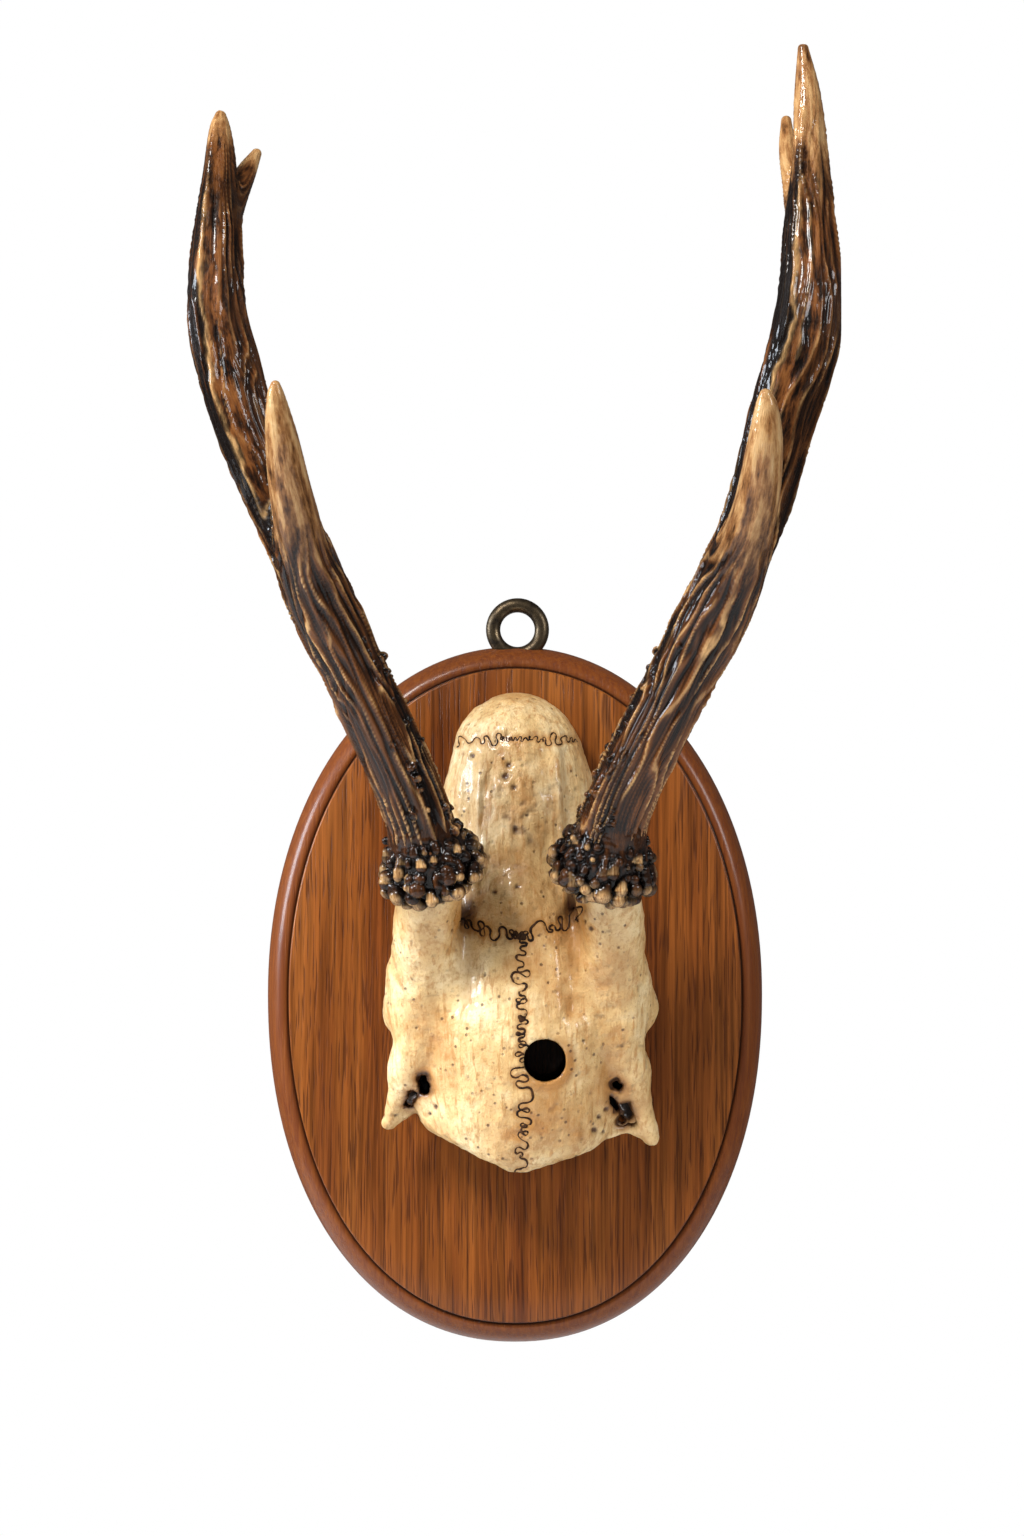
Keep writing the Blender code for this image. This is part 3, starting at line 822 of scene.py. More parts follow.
@dataclass(frozen=True)
class Wood:
    """Varnished hardwood with a straight, upright grain and short dark pores, and near black painted shade in
    the sunk line round the panel.
    """

    dark: Colour = (0.105, 0.024, 0.004)
    mid: Colour = (0.195, 0.054, 0.008)
    light: Colour = (0.27, 0.086, 0.015)
    rim: Colour = (0.120, 0.030, 0.008)
    pore: Colour = (0.035, 0.008, 0.002)
    # Painted shade: near black for the sunk line round the panel.
    groove_shade: Colour = (0.010, 0.003, 0.001)

    def make(self) -> bpy.types.Material:
        """The material, which reads how far a point is into the rim and how much painted shade lies in the
        sunk line.

        Returns:
            The material.
        """
        w = Weave("varnished_wood")
        drift = w.noise(w.place((6, 6, 2)), 1.0, 2)
        warped = w.node("ShaderNodeVectorMath", Vector=w.place())
        warped.operation = "ADD"
        w.plug(warped.inputs[1], w.mix(0.012, (0.0, 0.0, 0.0), drift))
        bands = w.noise(w.node("ShaderNodeMapping", Vector=warped, Scale=(75, 75, 4)), 1.0, 5, 0.6)
        fibres = w.noise(w.node("ShaderNodeMapping", Vector=warped, Scale=(900, 900, 14)), 1.0, 3, 0.6)
        pores = w.noise(w.node("ShaderNodeMapping", Vector=warped, Scale=(1800, 1800, 60)), 1.0, 1, 0.5)
        colour = w.ramp(bands, [(0.30, self.dark), (0.50, self.mid), (0.72, self.light)])
        colour = w.mix(0.7, colour, w.ramp(fibres, [(0.34, 0.35), (0.62, 1.25)]), "MULTIPLY")
        is_pore = w.ramp(pores, [(0.57, 0.0), (0.66, 1.0)])
        colour = w.mix(w.math("MULTIPLY", is_pore, 0.65), colour, self.pore)
        rim = w.mix(w.ramp(fibres, [(0.35, 0.0), (0.70, 0.8)]), self.rim, self.mid)
        colour = w.mix(w.value("rim"), colour, rim)
        # Painted shade in the sunk line round the panel.
        colour = w.mix(w.value("groove_shade"), colour, self.groove_shade)
        relief = w.math("SUBTRACT", fibres, w.math("MULTIPLY", is_pore, 0.8))
        bump = w.bump(relief, 0.00010)
        rough = w.ramp(fibres, [(0.3, 0.34), (0.7, 0.46)])
        return w.finish(colour, rough, bump, Specular_IOR_Level=0.12, Coat_Weight=0.3, Coat_Roughness=0.2)


@dataclass(frozen=True)
class Bronze:
    """Darkened bronze, worn a little lighter."""

    dark: Colour = (0.025, 0.018, 0.012)
    worn: Colour = (0.17, 0.12, 0.065)

    def make(self) -> bpy.types.Material:
        """The material.

        Returns:
            The material.
        """
        w = Weave("darkened_bronze")
        patina = w.noise(w.place(), 260, 6, 0.65)
        colour = w.ramp(patina, [(0.35, self.dark), (0.75, self.worn)])
        rough = w.ramp(patina, [(0.3, 0.5), (0.7, 0.28)])
        return w.finish(colour, rough, w.bump(w.noise(w.place(), 1400, 3), 0.00005), Metallic=0.85)


@dataclass(frozen=True)
class Bone:
    """Old varnished bone: cream, with ochre stains, dark specks, brown where dirt settles and as painted shade
    in clefts, and near black painted shade inside openings.
    """

    pale: Colour = (0.84, 0.67, 0.39)
    cream: Colour = (0.68, 0.46, 0.205)
    ochre: Colour = (0.42, 0.195, 0.052)
    brown: Colour = (0.075, 0.026, 0.007)
    # Painted shade: near black deep in the hole and inside the slots.
    inner: Colour = (0.012, 0.006, 0.003)

    def make(self) -> bpy.types.Material:
        """The material, which reads the skull's stored dirt and painted shade, its stains with the painted
        shade of the furrows, the painted shade inside its openings, and its gloss.

        Returns:
            The material.
        """
        w = Weave("old_bone")
        broad = w.noise(w.place(), 42, 5, 0.62)
        fine = w.noise(w.place(), 210, 5, 0.65)
        grit = w.noise(w.place(), 950, 4, 0.62)
        fibres = w.noise(w.place((620, 620, 75)), 1.0, 4, 0.62)
        colour = w.ramp(broad, [(0.36, self.pale), (0.50, self.cream), (0.66, self.ochre)])
        colour = w.mix(w.ramp(fine, [(0.40, 0.0), (0.66, 0.6)]), colour, self.cream)
        colour = w.mix(w.ramp(fine, [(0.54, 0.0), (0.70, 0.65)]), colour, self.ochre)
        colour = w.mix(w.ramp(fibres, [(0.52, 0.0), (0.66, 0.75)]), colour, self.ochre)
        colour = w.mix(w.ramp(grit, [(0.55, 0.0), (0.72, 0.60)]), colour, self.ochre)
        # Ochre stains, with painted shade added in the furrows.
        colour = w.mix(w.value("stain"), colour, self.ochre)
        # Brown dirt in pits and pores, and painted shade in clefts; darker at the slots' edges.
        colour = w.mix(w.value("dirt"), colour, self.brown)
        specks = w.ramp(w.cells(w.place(), 330), [(0.10, 1.0), (0.20, 0.0)])
        patchy = w.ramp(w.noise(w.place(), 60, 3), [(0.42, 0.0), (0.56, 1.0)])
        is_speck = w.math("MULTIPLY", specks, patchy)
        colour = w.mix(w.math("MULTIPLY", is_speck, 0.75), colour, self.brown)
        # Painted shade: near black inside the hole and the slots.
        colour = w.mix(w.value("inside"), colour, self.inner)
        height = w.math("SUBTRACT", grit, w.math("MULTIPLY", is_speck, 1.5))
        bump = w.bump(fine, 0.0007)
        bump = w.bump(fibres, 0.0003, bump)
        bump = w.bump(height, 0.00022, bump)
        dull = w.ramp(fine, [(0.3, 0.42), (0.7, 0.6)])
        glossy = w.ramp(fine, [(0.3, 0.22), (0.7, 0.4)])
        rough = w.mix(w.value("gloss"), dull, glossy)
        return w.finish(
            colour, rough, bump, Subsurface_Weight=0.05, Subsurface_Scale=0.002, Specular_IOR_Level=0.3,
            Subsurface_Radius=(1.0, 0.6, 0.35), Coat_Weight=0.35, Coat_Roughness=0.14,
        )


@dataclass(frozen=True)
class Horn:
    """Dark varnished antler: near black in its grooves, with painted shade in clefts and between the burr's
    knobs, tan and gold on worn ridges, pale on its tips.
    """

    black: Colour = (0.0045, 0.0022, 0.0014)
    brown: Colour = (0.038, 0.0125, 0.0036)
    rust: Colour = (0.145, 0.049, 0.0125)
    gold: Colour = (0.62, 0.36, 0.145)
    ivory: Colour = (0.56, 0.38, 0.19)
    amber: Colour = (0.23, 0.088, 0.023)
    umber: Colour = (0.24, 0.105, 0.035)
    tan: Colour = (0.42, 0.235, 0.095)
    worn_dark: Colour = (0.27, 0.12, 0.038)
    worn_light: Colour = (0.62, 0.38, 0.165)

    def make(self) -> bpy.types.Material:
        """The material, which reads the antler's stored relief with its painted shade in clefts, crests,
        warmth, paleness and place.

        Returns:
            The material.
        """
        w = Weave("varnished_antler")
        streaks = w.noise(w.vector("lie", (560, 560, 24)), 1.0, 5, 0.6)
        blotches = w.noise(w.vector("lie", (110, 110, 26)), 1.0, 4, 0.6)
        mottle = w.noise(w.vector("lie", (330, 330, 90)), 1.0, 5, 0.65)
        grain = w.noise(w.vector("lie", (1900, 1900, 160)), 1.0, 4, 0.6)
        relief = w.math("ADD", w.value("relief"), w.math("MULTIPLY_ADD", streaks, 0.7, -0.35))
        # Relief colour from black grooves to rust ridges, with painted shade in clefts.
        dark = w.ramp(relief, [(0.24, self.black), (0.42, self.brown), (0.68, self.rust)])
        warm = w.ramp(mottle, [(0.38, self.black), (0.46, self.brown), (0.54, self.rust), (0.68, self.amber)])
        dark = w.mix(w.value("warm"), dark, warm)
        dark = w.mix(w.ramp(blotches, [(0.52, 0.0), (0.66, 0.7)]), dark, self.black)
        crest = w.math("MULTIPLY", w.value("crest"), w.ramp(mottle, [(0.38, 0.2), (0.54, 1.0)]))
        dark = w.mix(crest, dark, self.gold)
        blend = w.math("MULTIPLY_ADD", streaks, 0.38, w.math("MULTIPLY", mottle, 0.68))
        blend = w.math("ADD", blend, w.math("MULTIPLY_ADD", w.value("pale"), 0.3, -0.27))
        pale = w.ramp(blend, [(0.34, self.brown), (0.46, self.umber), (0.56, self.tan), (0.74, self.ivory)])
        share = w.math("ADD", w.value("pale"), w.math("MULTIPLY_ADD", mottle, 1.1, -0.55))
        share = w.ramp(share, [(0.30, 0.0), (0.72, 1.0)])
        colour = w.mix(share, dark, pale)
        rubbed = w.ramp(w.noise(w.place(), 300, 3), [(0.36, 0.4), (0.52, 1.0)])
        worn = w.math("MULTIPLY", w.value("worn"), rubbed)
        colour = w.mix(worn, colour, w.ramp(grain, [(0.35, self.worn_dark), (0.6, self.worn_light)]))
        bump = w.bump(streaks, 0.0007)
        bump = w.bump(mottle, 0.0006, bump)
        bump = w.bump(grain, 0.00015, bump)
        rough = w.ramp(grain, [(0.3, 0.22), (0.7, 0.45)])
        return w.finish(colour, rough, bump, Specular_IOR_Level=0.07, Coat_Weight=0.4, Coat_Roughness=0.08)


@dataclass(frozen=True)
class Seam:
    """Dried dark matter in the skull's sutures."""

    dark: Colour = (0.010, 0.004, 0.0015)
    light: Colour = (0.075, 0.030, 0.009)

    def make(self) -> bpy.types.Material:
        """The material.

        Returns:
            The material.
        """
        w = Weave("suture_fill")
        colour = w.ramp(w.noise(w.place(), 420, 3), [(0.4, self.dark), (0.7, self.light)])
        return w.finish(colour, 0.55, Specular_IOR_Level=0.15)


# Plaque and ring


@dataclass
class Plaque:
    """The oval board: a flat panel inside a sunk line and a rounded rim, with painted shade stored in the sunk
    line.
    """

    sides: int = 192
    rim_width: float = 7.2 * MM
    rim_wall: float = 6.0 * MM
    rim_drop: float = 1.5 * MM
    rim_steps: int = 12
    arris: float = 0.5 * MM
    panel_rings: int = 5
    upper_fullness: float = 2.07
    lower_fullness: float = 2.15

    def profile(self, thickness: float) -> list[tuple[float, float]]:
        """(inset, y) steps from the back edge round the rim to the panel's edge.

        Args:
            thickness: The board's thickness.

        Returns:
            (inset, y) pairs in metres.
        """
        crown = thickness - self.rim_drop
        steps = [(self.arris, 0.0), (0.0, -self.arris), (0.0, -self.rim_wall)]
        for step in range(1, self.rim_steps + 1):
            turn = math.radians(90) * step / self.rim_steps
            inset = (self.rim_width - 2 * self.arris) * (1 - math.cos(turn))
            steps.append((inset, -self.rim_wall - (crown - self.rim_wall) * math.sin(turn)))
        steps.append((self.rim_width - self.arris * 0.9, -crown + 0.5 * MM))
        steps.append((self.rim_width - self.arris * 0.3, -crown + 0.5 * MM))
        steps.append((self.rim_width, -thickness + self.arris))
        steps.append((self.rim_width + self.arris * 0.35, -thickness + self.arris * 0.25))
        steps.append((self.rim_width + self.arris, -thickness))
        return steps

    def build(self) -> bpy.types.Object:
        """The board as one closed skin.

        Returns:
            The piece.
        """
        low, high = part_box("plaque")
        centre = (low + high) / 2
        thickness = high.y - low.y
        half_x, half_z = (high.x - low.x) / 2, (high.z - low.z) / 2
        bm = bmesh.new()
        rim = bm.verts.layers.float.new("rim")
        # The sunk line's painted shade, for the material to read.
        groove_shade = bm.verts.layers.float.new("groove_shade")

        def row(inset: float, y: float, edge: float, sunk: float) -> list[bmesh.types.BMVert]:
            """A ring of vertices at an inset from the outline.

            Args:
                inset: How far inside the outline it lies.
                y: Its depth.
                edge: How much it belongs to the rim, from 0 to 1.
                sunk: How much painted shade of the sunk line it carries, from 0 to 1.

            Returns:
                The vertices in order.
            """
            made = []
            for i in range(self.sides):
                turn = 2 * math.pi * i / self.sides
                fullness = self.upper_fullness if math.sin(turn) > 0 else self.lower_fullness
                ways = (math.cos(turn), math.sin(turn))
                over, up = (math.copysign(abs(way) ** (2 / fullness), way) for way in ways)
                place = (centre.x + (half_x - inset) * over, y, centre.z + (half_z - inset) * up)
                vertex = bm.verts.new(place)
                vertex[rim], vertex[groove_shade] = edge, sunk
                made.append(vertex)
            return made

        def bridge(first: list[bmesh.types.BMVert], second: list[bmesh.types.BMVert]) -> None:
            """Faces between two rings.

            Args:
                first: The outer ring.
                second: The inner ring.
            """
            for i in range(self.sides):
                j = (i + 1) % self.sides
                bm.faces.new((first[i], first[j], second[j], second[i]))

        steps = self.profile(thickness)
        rings = []
        for i, (inset, y) in enumerate(steps):
            on_rim = 1.0 if i < len(steps) - 3 else 0.0
            # The two rings in the sunk line carry its painted shade.
            sunk = 0.85 if i in (len(steps) - 5, len(steps) - 4) else 0.0
            rings.append(row(inset, y, on_rim, sunk))
        for first, second in zip(rings, rings[1:]):
            bridge(first, second)
        inner = rings[-1]
        for i in range(1, self.panel_rings):
            inset = self.rim_width + self.arris + (half_x - self.rim_width) * i / self.panel_rings
            following = row(inset, -thickness, 0.0, 0.0)
            bridge(inner, following)
            inner = following
        bm.faces.new(inner)
        bm.faces.new(list(reversed(rings[0])))
        bmesh.ops.recalc_face_normals(bm, faces=bm.faces)
        plaque = from_bmesh("plaque_board", bm)
        return finished(plaque, Wood().make(), ["plaque"])


@dataclass
class HangingRing:
    """The screw eye in the plaque's top edge."""

    radius: float = 7.8 * MM
    wire: float = 2.3 * MM
    sides: int = 24
    turns: int = 96
    neck_radius: float = 2.16 * MM
    neck_length: float = 8 * MM

    def build(self) -> bpy.types.Object:
        """The ring with its neck in the wood.

        Returns:
            The piece.
        """
        low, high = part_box("hanging_ring")
        centre = Vector(((low.x + high.x) / 2, (low.y + high.y) / 2, high.z - self.radius - self.wire))
        bm = bmesh.new()
        start = Matrix.Translation(centre + Vector((self.radius, 0, 0)))
        circle = bmesh.ops.create_circle(bm, segments=self.sides, radius=self.wire, matrix=start)["verts"]
        bmesh.ops.spin(
            bm, geom=circle + list(bm.edges), cent=centre, axis=(0, 1, 0), angle=2 * math.pi,
            steps=self.turns, use_merge=True,
        )
        bmesh.ops.remove_doubles(bm, verts=bm.verts, dist=1e-6)
        bmesh.ops.recalc_face_normals(bm, faces=bm.faces)
        ring = from_bmesh("hanging_ring_eye", bm)
        bm = bmesh.new()
        bmesh.ops.create_cone(
            bm, cap_ends=True, segments=self.sides, radius1=self.neck_radius, radius2=self.neck_radius,
            depth=self.neck_length,
            matrix=Matrix.Translation(centre - Vector((0, 0, self.radius + self.neck_length / 2))),
        )
        neck = from_bmesh("neck", bm)
        modified(ring, "BOOLEAN", operation="UNION", solver="EXACT", object=neck)
        bpy.data.objects.remove(neck)
        return finished(ring, Bronze().make(), ["hanging_ring"])


# Skull

SKULL_X = 1.2
BOARD = 18.0


def bone(across: float, height: float, up: float) -> tuple[float, float, float]:
    """A point by its distance from the suture line, its height over the plaque and its z, in mm."""
    return (SKULL_X + across, -BOARD - height, up)


def bone_ball(place: Sequence[float], radii: Sequence[float]) -> Ball:
    """An ellipsoid whose radii are across, in height and up."""
    return Ball(bone(*place), radii)


def bone_limb(stations: Sequence[Sequence[float]], steps: int = 4) -> Limb:
    """A limb through (across, height, up, radius) stations."""
    return Limb([(*bone(a, h, u), r) for a, h, u, r in stations], steps)


@dataclass
class Skull:
    """The cut skull, whose upper end is the back of the head and whose point is the nose's root."""

    voxel: float = 0.7 * MM
    pedicle: tuple = ((29.6, 22, 0, 10.8), (29, 31, 14, 10.5), (28.2, 40, 29, 10.2), (26.4, 50, 42.5, 9.7))
    brow: tuple = ((30, 22, 4, 10.3), (32.3, 24.5, -11, 7.0), (35, 22.5, -22, 5.4))
    tips: dict = field(default_factory=lambda: {-1: (-41.4, 15, -39.4, 1.9), 1: (41.8, 15, -44.0, 2.3)})
    bosses: dict = field(default_factory=lambda: {-1: -38.8, 1: 39.5})
    webs: dict = field(default_factory=lambda: {
        -1: ((-40.6, 15, -38.4, 2.0), (-36.2, 16, -35.3, 2.3), (-32.2, 17, -32.4, 2.1), (-27, 19, -32, 2.6)),
        1: ((40.8, 15, -42.8, 2.1), (34.2, 16, -40.8, 1.8), (28.2, 18, -41.8, 2.4)),
    })
    slots: tuple = (
        ((-34.6, -32.4), (-33.2, -29.9), 1.4, 8), ((-29.9, -25.2), (-29.4, -28.2), 1.8, 16),
        ((33.2, -33.6), (34.6, -36.8), 1.8, 8), ((32.0, -38.4), (32.8, -39.4), 0.8, -1),
        ((30.2, -26.6), (31.6, -27.4), 1.2, 17), ((28.8, -30.8), (30.4, -34.2), 1.1, 16),
    )
    temple_ridge: tuple = (
        (9.5, 23.3, 80, 1.6), (11.5, 27, 68, 1.8), (11.8, 27.6, 50, 1.8), (14, 29.6, 32, 1.5),
    )
    temple_hollow: tuple = ((17.5, 34, 76, 7), (20, 33, 60, 8), (20.5, 35, 42, 8.5))
    hole: tuple = (8.0, -18.5, 6.6)
    pores: tuple = (
        (-1.2, 53.6, 1.0), (-7.5, 34.0, 0.8), (-0.6, 35.6, 0.7), (-14.6, 76.4, 0.8), (22.2, 22.8, 1.0),
        (19.6, 24.6, 0.7), (-3.2, 73.6, 1.1), (-4.4, 70.0, 1.3), (-1.6, 66.6, 1.0), (2.6, 57.8, 0.7),
        (25.2, -36.6, 0.8), (27.4, -34.4, 0.9), (23.6, -40.6, 1.1), (-26.4, -33.4, 0.9), (-28.4, -36.0, 0.7),
        (-20.0, 22.0, 0.7), (12.0, 41.0, 0.6), (-10.6, 8.4, 0.5), (20.0, -12.4, 0.5), (26.6, -41.4, 0.7),
    )
    stains: tuple = (
        (-1, 58, 15, 20, 0.55), (-14, 26, 9, 7, 0.75), (15, 26, 8, 7, 0.55), (14, 4, 10, 16, 0.45),
        (18, -30, 14, 12, 0.40), (-12, -16, 6, 10, 0.25), (-30, 18, 7, 12, 0.25), (31, 14, 6, 14, 0.30),
        (0, 24, 18, 5, 0.40), (-2, 96, 10, 5, 0.45), (30, -20, 6, 12, 0.25), (-30, -24, 5, 8, 0.45),
    )
    furrows: tuple = (
        ((-16.6, 31), (-15.4, 0), 3.0, 1.3), ((17.6, 31), (16.6, -2), 3.0, 1.3),
        ((-10.6, 68), (-13.4, 40), 1.3, 0.6), ((10.8, 66), (13.6, 40), 1.3, 0.6),
        ((-26, -14), (-30, -24), 2.4, 0.7), ((27, -18), (30, -27), 2.4, 0.7),
    )
    coronal: float = 20.4
    lambdoid: float = 80.6
    point: float = -55.0

    def mirrored(self, side: Side, stations: Sequence[Sequence[float]]) -> list[tuple]:
        """Stations on one side of the suture line."""
        return [(side.value * row[0], *row[1:]) for row in stations]

    def braincase(self) -> Form:
        """The domed rear of the skull, with a ridge on each temple.

        Returns:
            The form.
        """
        dome = Fused([
            bone_ball((0, 6, 57.5), (24.3, 26.5, 37)),
            bone_ball((-1, 6, 79), (18.4, 21, 16.4)),
            bone_ball((0, 7, 22), (26, 30, 34)),
        ], 5)
        hollows = [bone_limb(self.mirrored(side, self.temple_hollow)) for side in Side]
        ridges = [bone_limb(self.mirrored(side, self.temple_ridge)) for side in Side]
        return Fused([Trimmed(dome, hollows=hollows, blend=6), *ridges], 3)

    def forehead(self) -> Form:
        """The frontal bones, whose lower edge runs down to a blunt point clear of the plaque.

        Returns:
            The form.
        """
        dome = Fused([
            bone_ball((0, 8, -12), (37.5, 34.5, 45)),
            bone_ball((0, 18, -36), (29, 20, 24)),
            bone_ball((0, 14, 8), (30, 25, 22)),
        ], 6)
        planes = [
            (bone(0, 0, -54.8), (-0.41, 0, -0.91)),
            (bone(0, 0, -54.8), (0.33, 0, -0.94)),
            (bone(0, 0, -29), (0, 0.9, -0.43)),
        ]
        valley = bone_limb([(0, 52, 26, 12), (0, 53, 8, 9)])
        return Trimmed(dome, planes, [valley], blend=3)

    def side_forms(self, side: Side) -> list[Form]:
        """The pedicle, brow ridge, process and cheek boss of one side.

        Args:
            side: Which side.

        Returns:
            The forms.
        """
        tip = self.tips[side.value]
        ridge = [*self.brow, (abs(tip[0]), *tip[1:])]
        brow = Fused([
            bone_limb(self.mirrored(side, ridge)),
            bone_limb(self.mirrored(side, [(36, 20, -22, 4.6), (30, 19, -27, 4.2), (25, 20, -30, 4)])),
            bone_ball((self.bosses[side.value], 13, -4.6), (4.2, 8, 7)),
        ], 5)
        return [brow, bone_limb(self.mirrored(side, self.pedicle))]

    def whole(self) -> Form:
        """The skull before it is sawn and bored.

        Returns:
            The form.
        """
        parts = [self.braincase(), self.forehead()]
        for side in Side:
            parts += self.side_forms(side)
        sockets = [bone_ball((side.value * 49, 1, -17), (20, 18.5, 19)) for side in Side]
        webs = [bone_limb(self.webs[side.value]) for side in Side]
        # Bone floors under two slots, coloured near black by the painted shade inside the openings.
        floors = [bone_ball((-33, 4.5, -30.5), (4.4, 5, 4.2)), bone_ball((33.8, 4.5, -36), (5.2, 5, 6.6))]
        trimmed = Trimmed(Fused([Fused(parts, 7), *webs], 1.5), hollows=sockets, blend=3)
        return Fused([trimmed, *floors], 1.0)

    def openings(self) -> list[Form]:
        """The hole with its wider inside, and the slots beside each process.

        Returns:
            The forms that are cut away.
        """
        across, up, radius = self.hole
        hole = Slot(bone(across, 0, up)[::2], bone(across, 0, up + 0.4)[::2], radius, -BOARD + 1, -BOARD - 75)
        forms: list[Form] = [hole, bone_ball((9, 24, -18.5), (8.2, 14, 9))]
        for start, end, half, height in self.slots:
            ends = bone(start[0], 0, start[1])[::2], bone(end[0], 0, end[1])[::2]
            forms.append(Slot(*ends, half, -BOARD - height, -BOARD - 60, 0.55))
        return forms

    def form(self) -> Trimmed:
        """The skull as it shows."""
        sawn = Trimmed(self.whole(), [(bone(0, 0.3, 0), (0, 1, 0))], blend=0.6)
        return Trimmed(sawn, hollows=self.openings(), blend=0.8)

    def cutters(self) -> list[bpy.types.Object]:
        """Rough cutters for the openings and the sawn back.

        Returns:
            The closed objects.
        """
        tools: list[bpy.types.Object] = []
        for form in self.openings():
            bm = bmesh.new()
            form.fill(bm)
            tools.append(from_bmesh("cutter", bm))
        bm = bmesh.new()
        middle = Matrix.Translation((0, -BOARD * MM - 0.3 * MM + 0.05, 0.02))
        bmesh.ops.create_cube(bm, size=1.0, matrix=middle @ Matrix.Diagonal((0.2, 0.1, 0.24, 1)))
        tools.append(from_bmesh("board", bm))
        return tools

    def meander(
        self,
        start: tuple[float, float],
        end: tuple[float, float],
        waves: int,
        bends: tuple[float, float],
        seed: int,
    ) -> Rows:
        """A winding path, whose direction swings to both sides like a river's.

        Args:
            start: Where it starts, as (across, up) in mm.
            end: Where it ends.
            waves: How many full waves it has.
            bends: The least and the greatest angle of the swing, in radians.
            seed: Picks its irregularities.

        Returns:
            (across, up) rows in mm.
        """
        t = np.linspace(0, waves, waves * 40)
        lane = np.stack([t, 0 * t, 0 * t], axis=1)
        rate = 1 + 0.4 * lattice_noise(lane * 0.9, seed)
        phase = np.cumsum(rate) * 2 * math.pi * waves / rate.sum()
        swing = bends[0] + (bends[1] - bends[0]) * (0.5 + 0.5 * lattice_noise(lane * 0.8, seed + 1))
        turn = swing * np.sin(phase) + 0.45 * lattice_noise(lane * 1.7, seed + 2)
        turn += 0.5 * lattice_noise(lane * 5, seed + 3)
        run, side = np.cumsum(np.cos(turn) / rate), np.cumsum(np.sin(turn) / rate)
        side -= np.linspace(side[0], side[-1], len(side))
        slow = np.convolve(np.pad(side, 60, mode="edge"), np.ones(121) / 121, mode="valid")
        side -= 0.8 * slow
        first, last = np.array(start), np.array(end)
        length = np.linalg.norm(last - first)
        way = (last - first) / length
        scale = length / (run[-1] - run[0])
        return first + np.outer((run - run[0]) * scale, way) + np.outer(side * scale, (-way[1], way[0]))

    def seams(self) -> list[Rows]:
        """The three sutures as (x, z) paths in metres.

        Returns:
            The paths' rows.
        """
        middle = self.meander((0.2, self.coronal + 0.4), (-0.3, self.point + 0.8), 27, (1.55, 1.95), 31)
        fade = np.clip((middle[:, 1] - self.point + 12) / 30, 0.6, 1)
        middle[:, 0] *= fade
        coronal = self.meander((-18.5, self.coronal + 5.5), (18.5, self.coronal + 6.5), 13, (1.5, 1.9), 47)
        coronal[:, 1] -= 5.5 * np.cos(np.clip(coronal[:, 0] / 20, -1, 1) * math.pi / 2) ** 0.8
        first, last = (-19.5, self.lambdoid - 0.4), (18.5, self.lambdoid + 0.6)
        lambdoid = self.meander(first, last, 19, (1.4, 1.85), 59)
        return [(path + (SKULL_X, 0)) * MM for path in (middle, coronal, lambdoid)]

    def build(self) -> bpy.types.Object:
        """The skull's skin, with its relief and its stored dirt, stains and painted shade.

        Returns:
            The piece.
        """
        form = self.form()
        obj = skinned("skull_bone", form, self.voxel, self.cutters)
        mesh = obj.data
        points, normals = corners(mesh), vertex_normals(mesh)
        # How closed in each place is, which is painted as shade in the clefts.
        cavity_shade = cavities(form, points, normals, 3.5 * MM)
        face = points[:, [0, 2]]
        seam = np.full(len(points), 1.0)
        for path in self.seams():
            for row in path[::4]:
                seam = np.minimum(seam, np.hypot(face[:, 0] - row[0], face[:, 1] - row[1]))
        front = rising(-normals[:, 1], 0.0, 0.4) * rising(-points[:, 1], (BOARD + 9) * MM, (BOARD + 15) * MM)
        near_seam = (1 - rising(seam, 0.1 * MM, 1.4 * MM)) * front
        stretched = points * np.array([1.0, 1.0, 0.28])
        swell = layered_noise(points / (11 * MM), 3) * 0.42 + layered_noise(points / (3.4 * MM), 9) * 0.15
        swell += layered_noise(stretched / (1.9 * MM), 15, 2) * 0.14
        pit = rising(lattice_noise(points / (1.6 * MM), 21), 0.6, 0.9)
        across, up = points[:, 0] / MM - SKULL_X, points[:, 2] / MM
        crown = np.exp(-((across + 1) / 7.5) ** 2 - ((up - 58) / 17) ** 2)
        crown_pit = crown * rising(layered_noise(points / (2.2 * MM), 33, 2), 0.25, 0.6) * front
        dents, holes = np.zeros(len(points)), np.zeros(len(points))
        for x, z, size in self.pores:
            away = np.hypot(across - x, up - z)
            dents += np.exp(-((away / size) ** 2)) * 0.9
            holes += 1 - rising(away, size * 0.55, size * 1.15)
        # The furrows' depth, and painted shade in them.
        sunk, shade = np.zeros(len(points)), np.zeros(len(points))
        for start, end, width, depth in self.furrows:
            first, way = np.array(start), np.array(end) - np.array(start)
            off = np.stack([across, up], axis=1) - first
            share = np.clip(off @ way / (way @ way), 0, 1)
            sunk_here = np.exp(-((np.linalg.norm(off - share[:, None] * way, axis=1) / width) ** 2))
            sunk += depth * sunk_here
            shade += 0.35 * sunk_here
        lift = swell * MM - sunk * front * MM - near_seam * 0.32 * MM - pit * 0.22 * MM
        lift -= (crown_pit * 0.35 + dents * front) * MM
        lift *= rising(-points[:, 1], (BOARD + 0.5) * MM, (BOARD + 3) * MM)
        set_corners(mesh, points + normals * lift[:, None])
        hole_x, hole_z, radius = self.hole
        ring = np.hypot(across - hole_x, up - hole_z)
        blotch = 0.5 + 0.5 * layered_noise(points / (4.5 * MM), 71)
        slots = [form for form in self.openings() if isinstance(form, Slot)][1:]
        gap = np.min([slot.beside(points) for slot in slots], axis=0) / MM
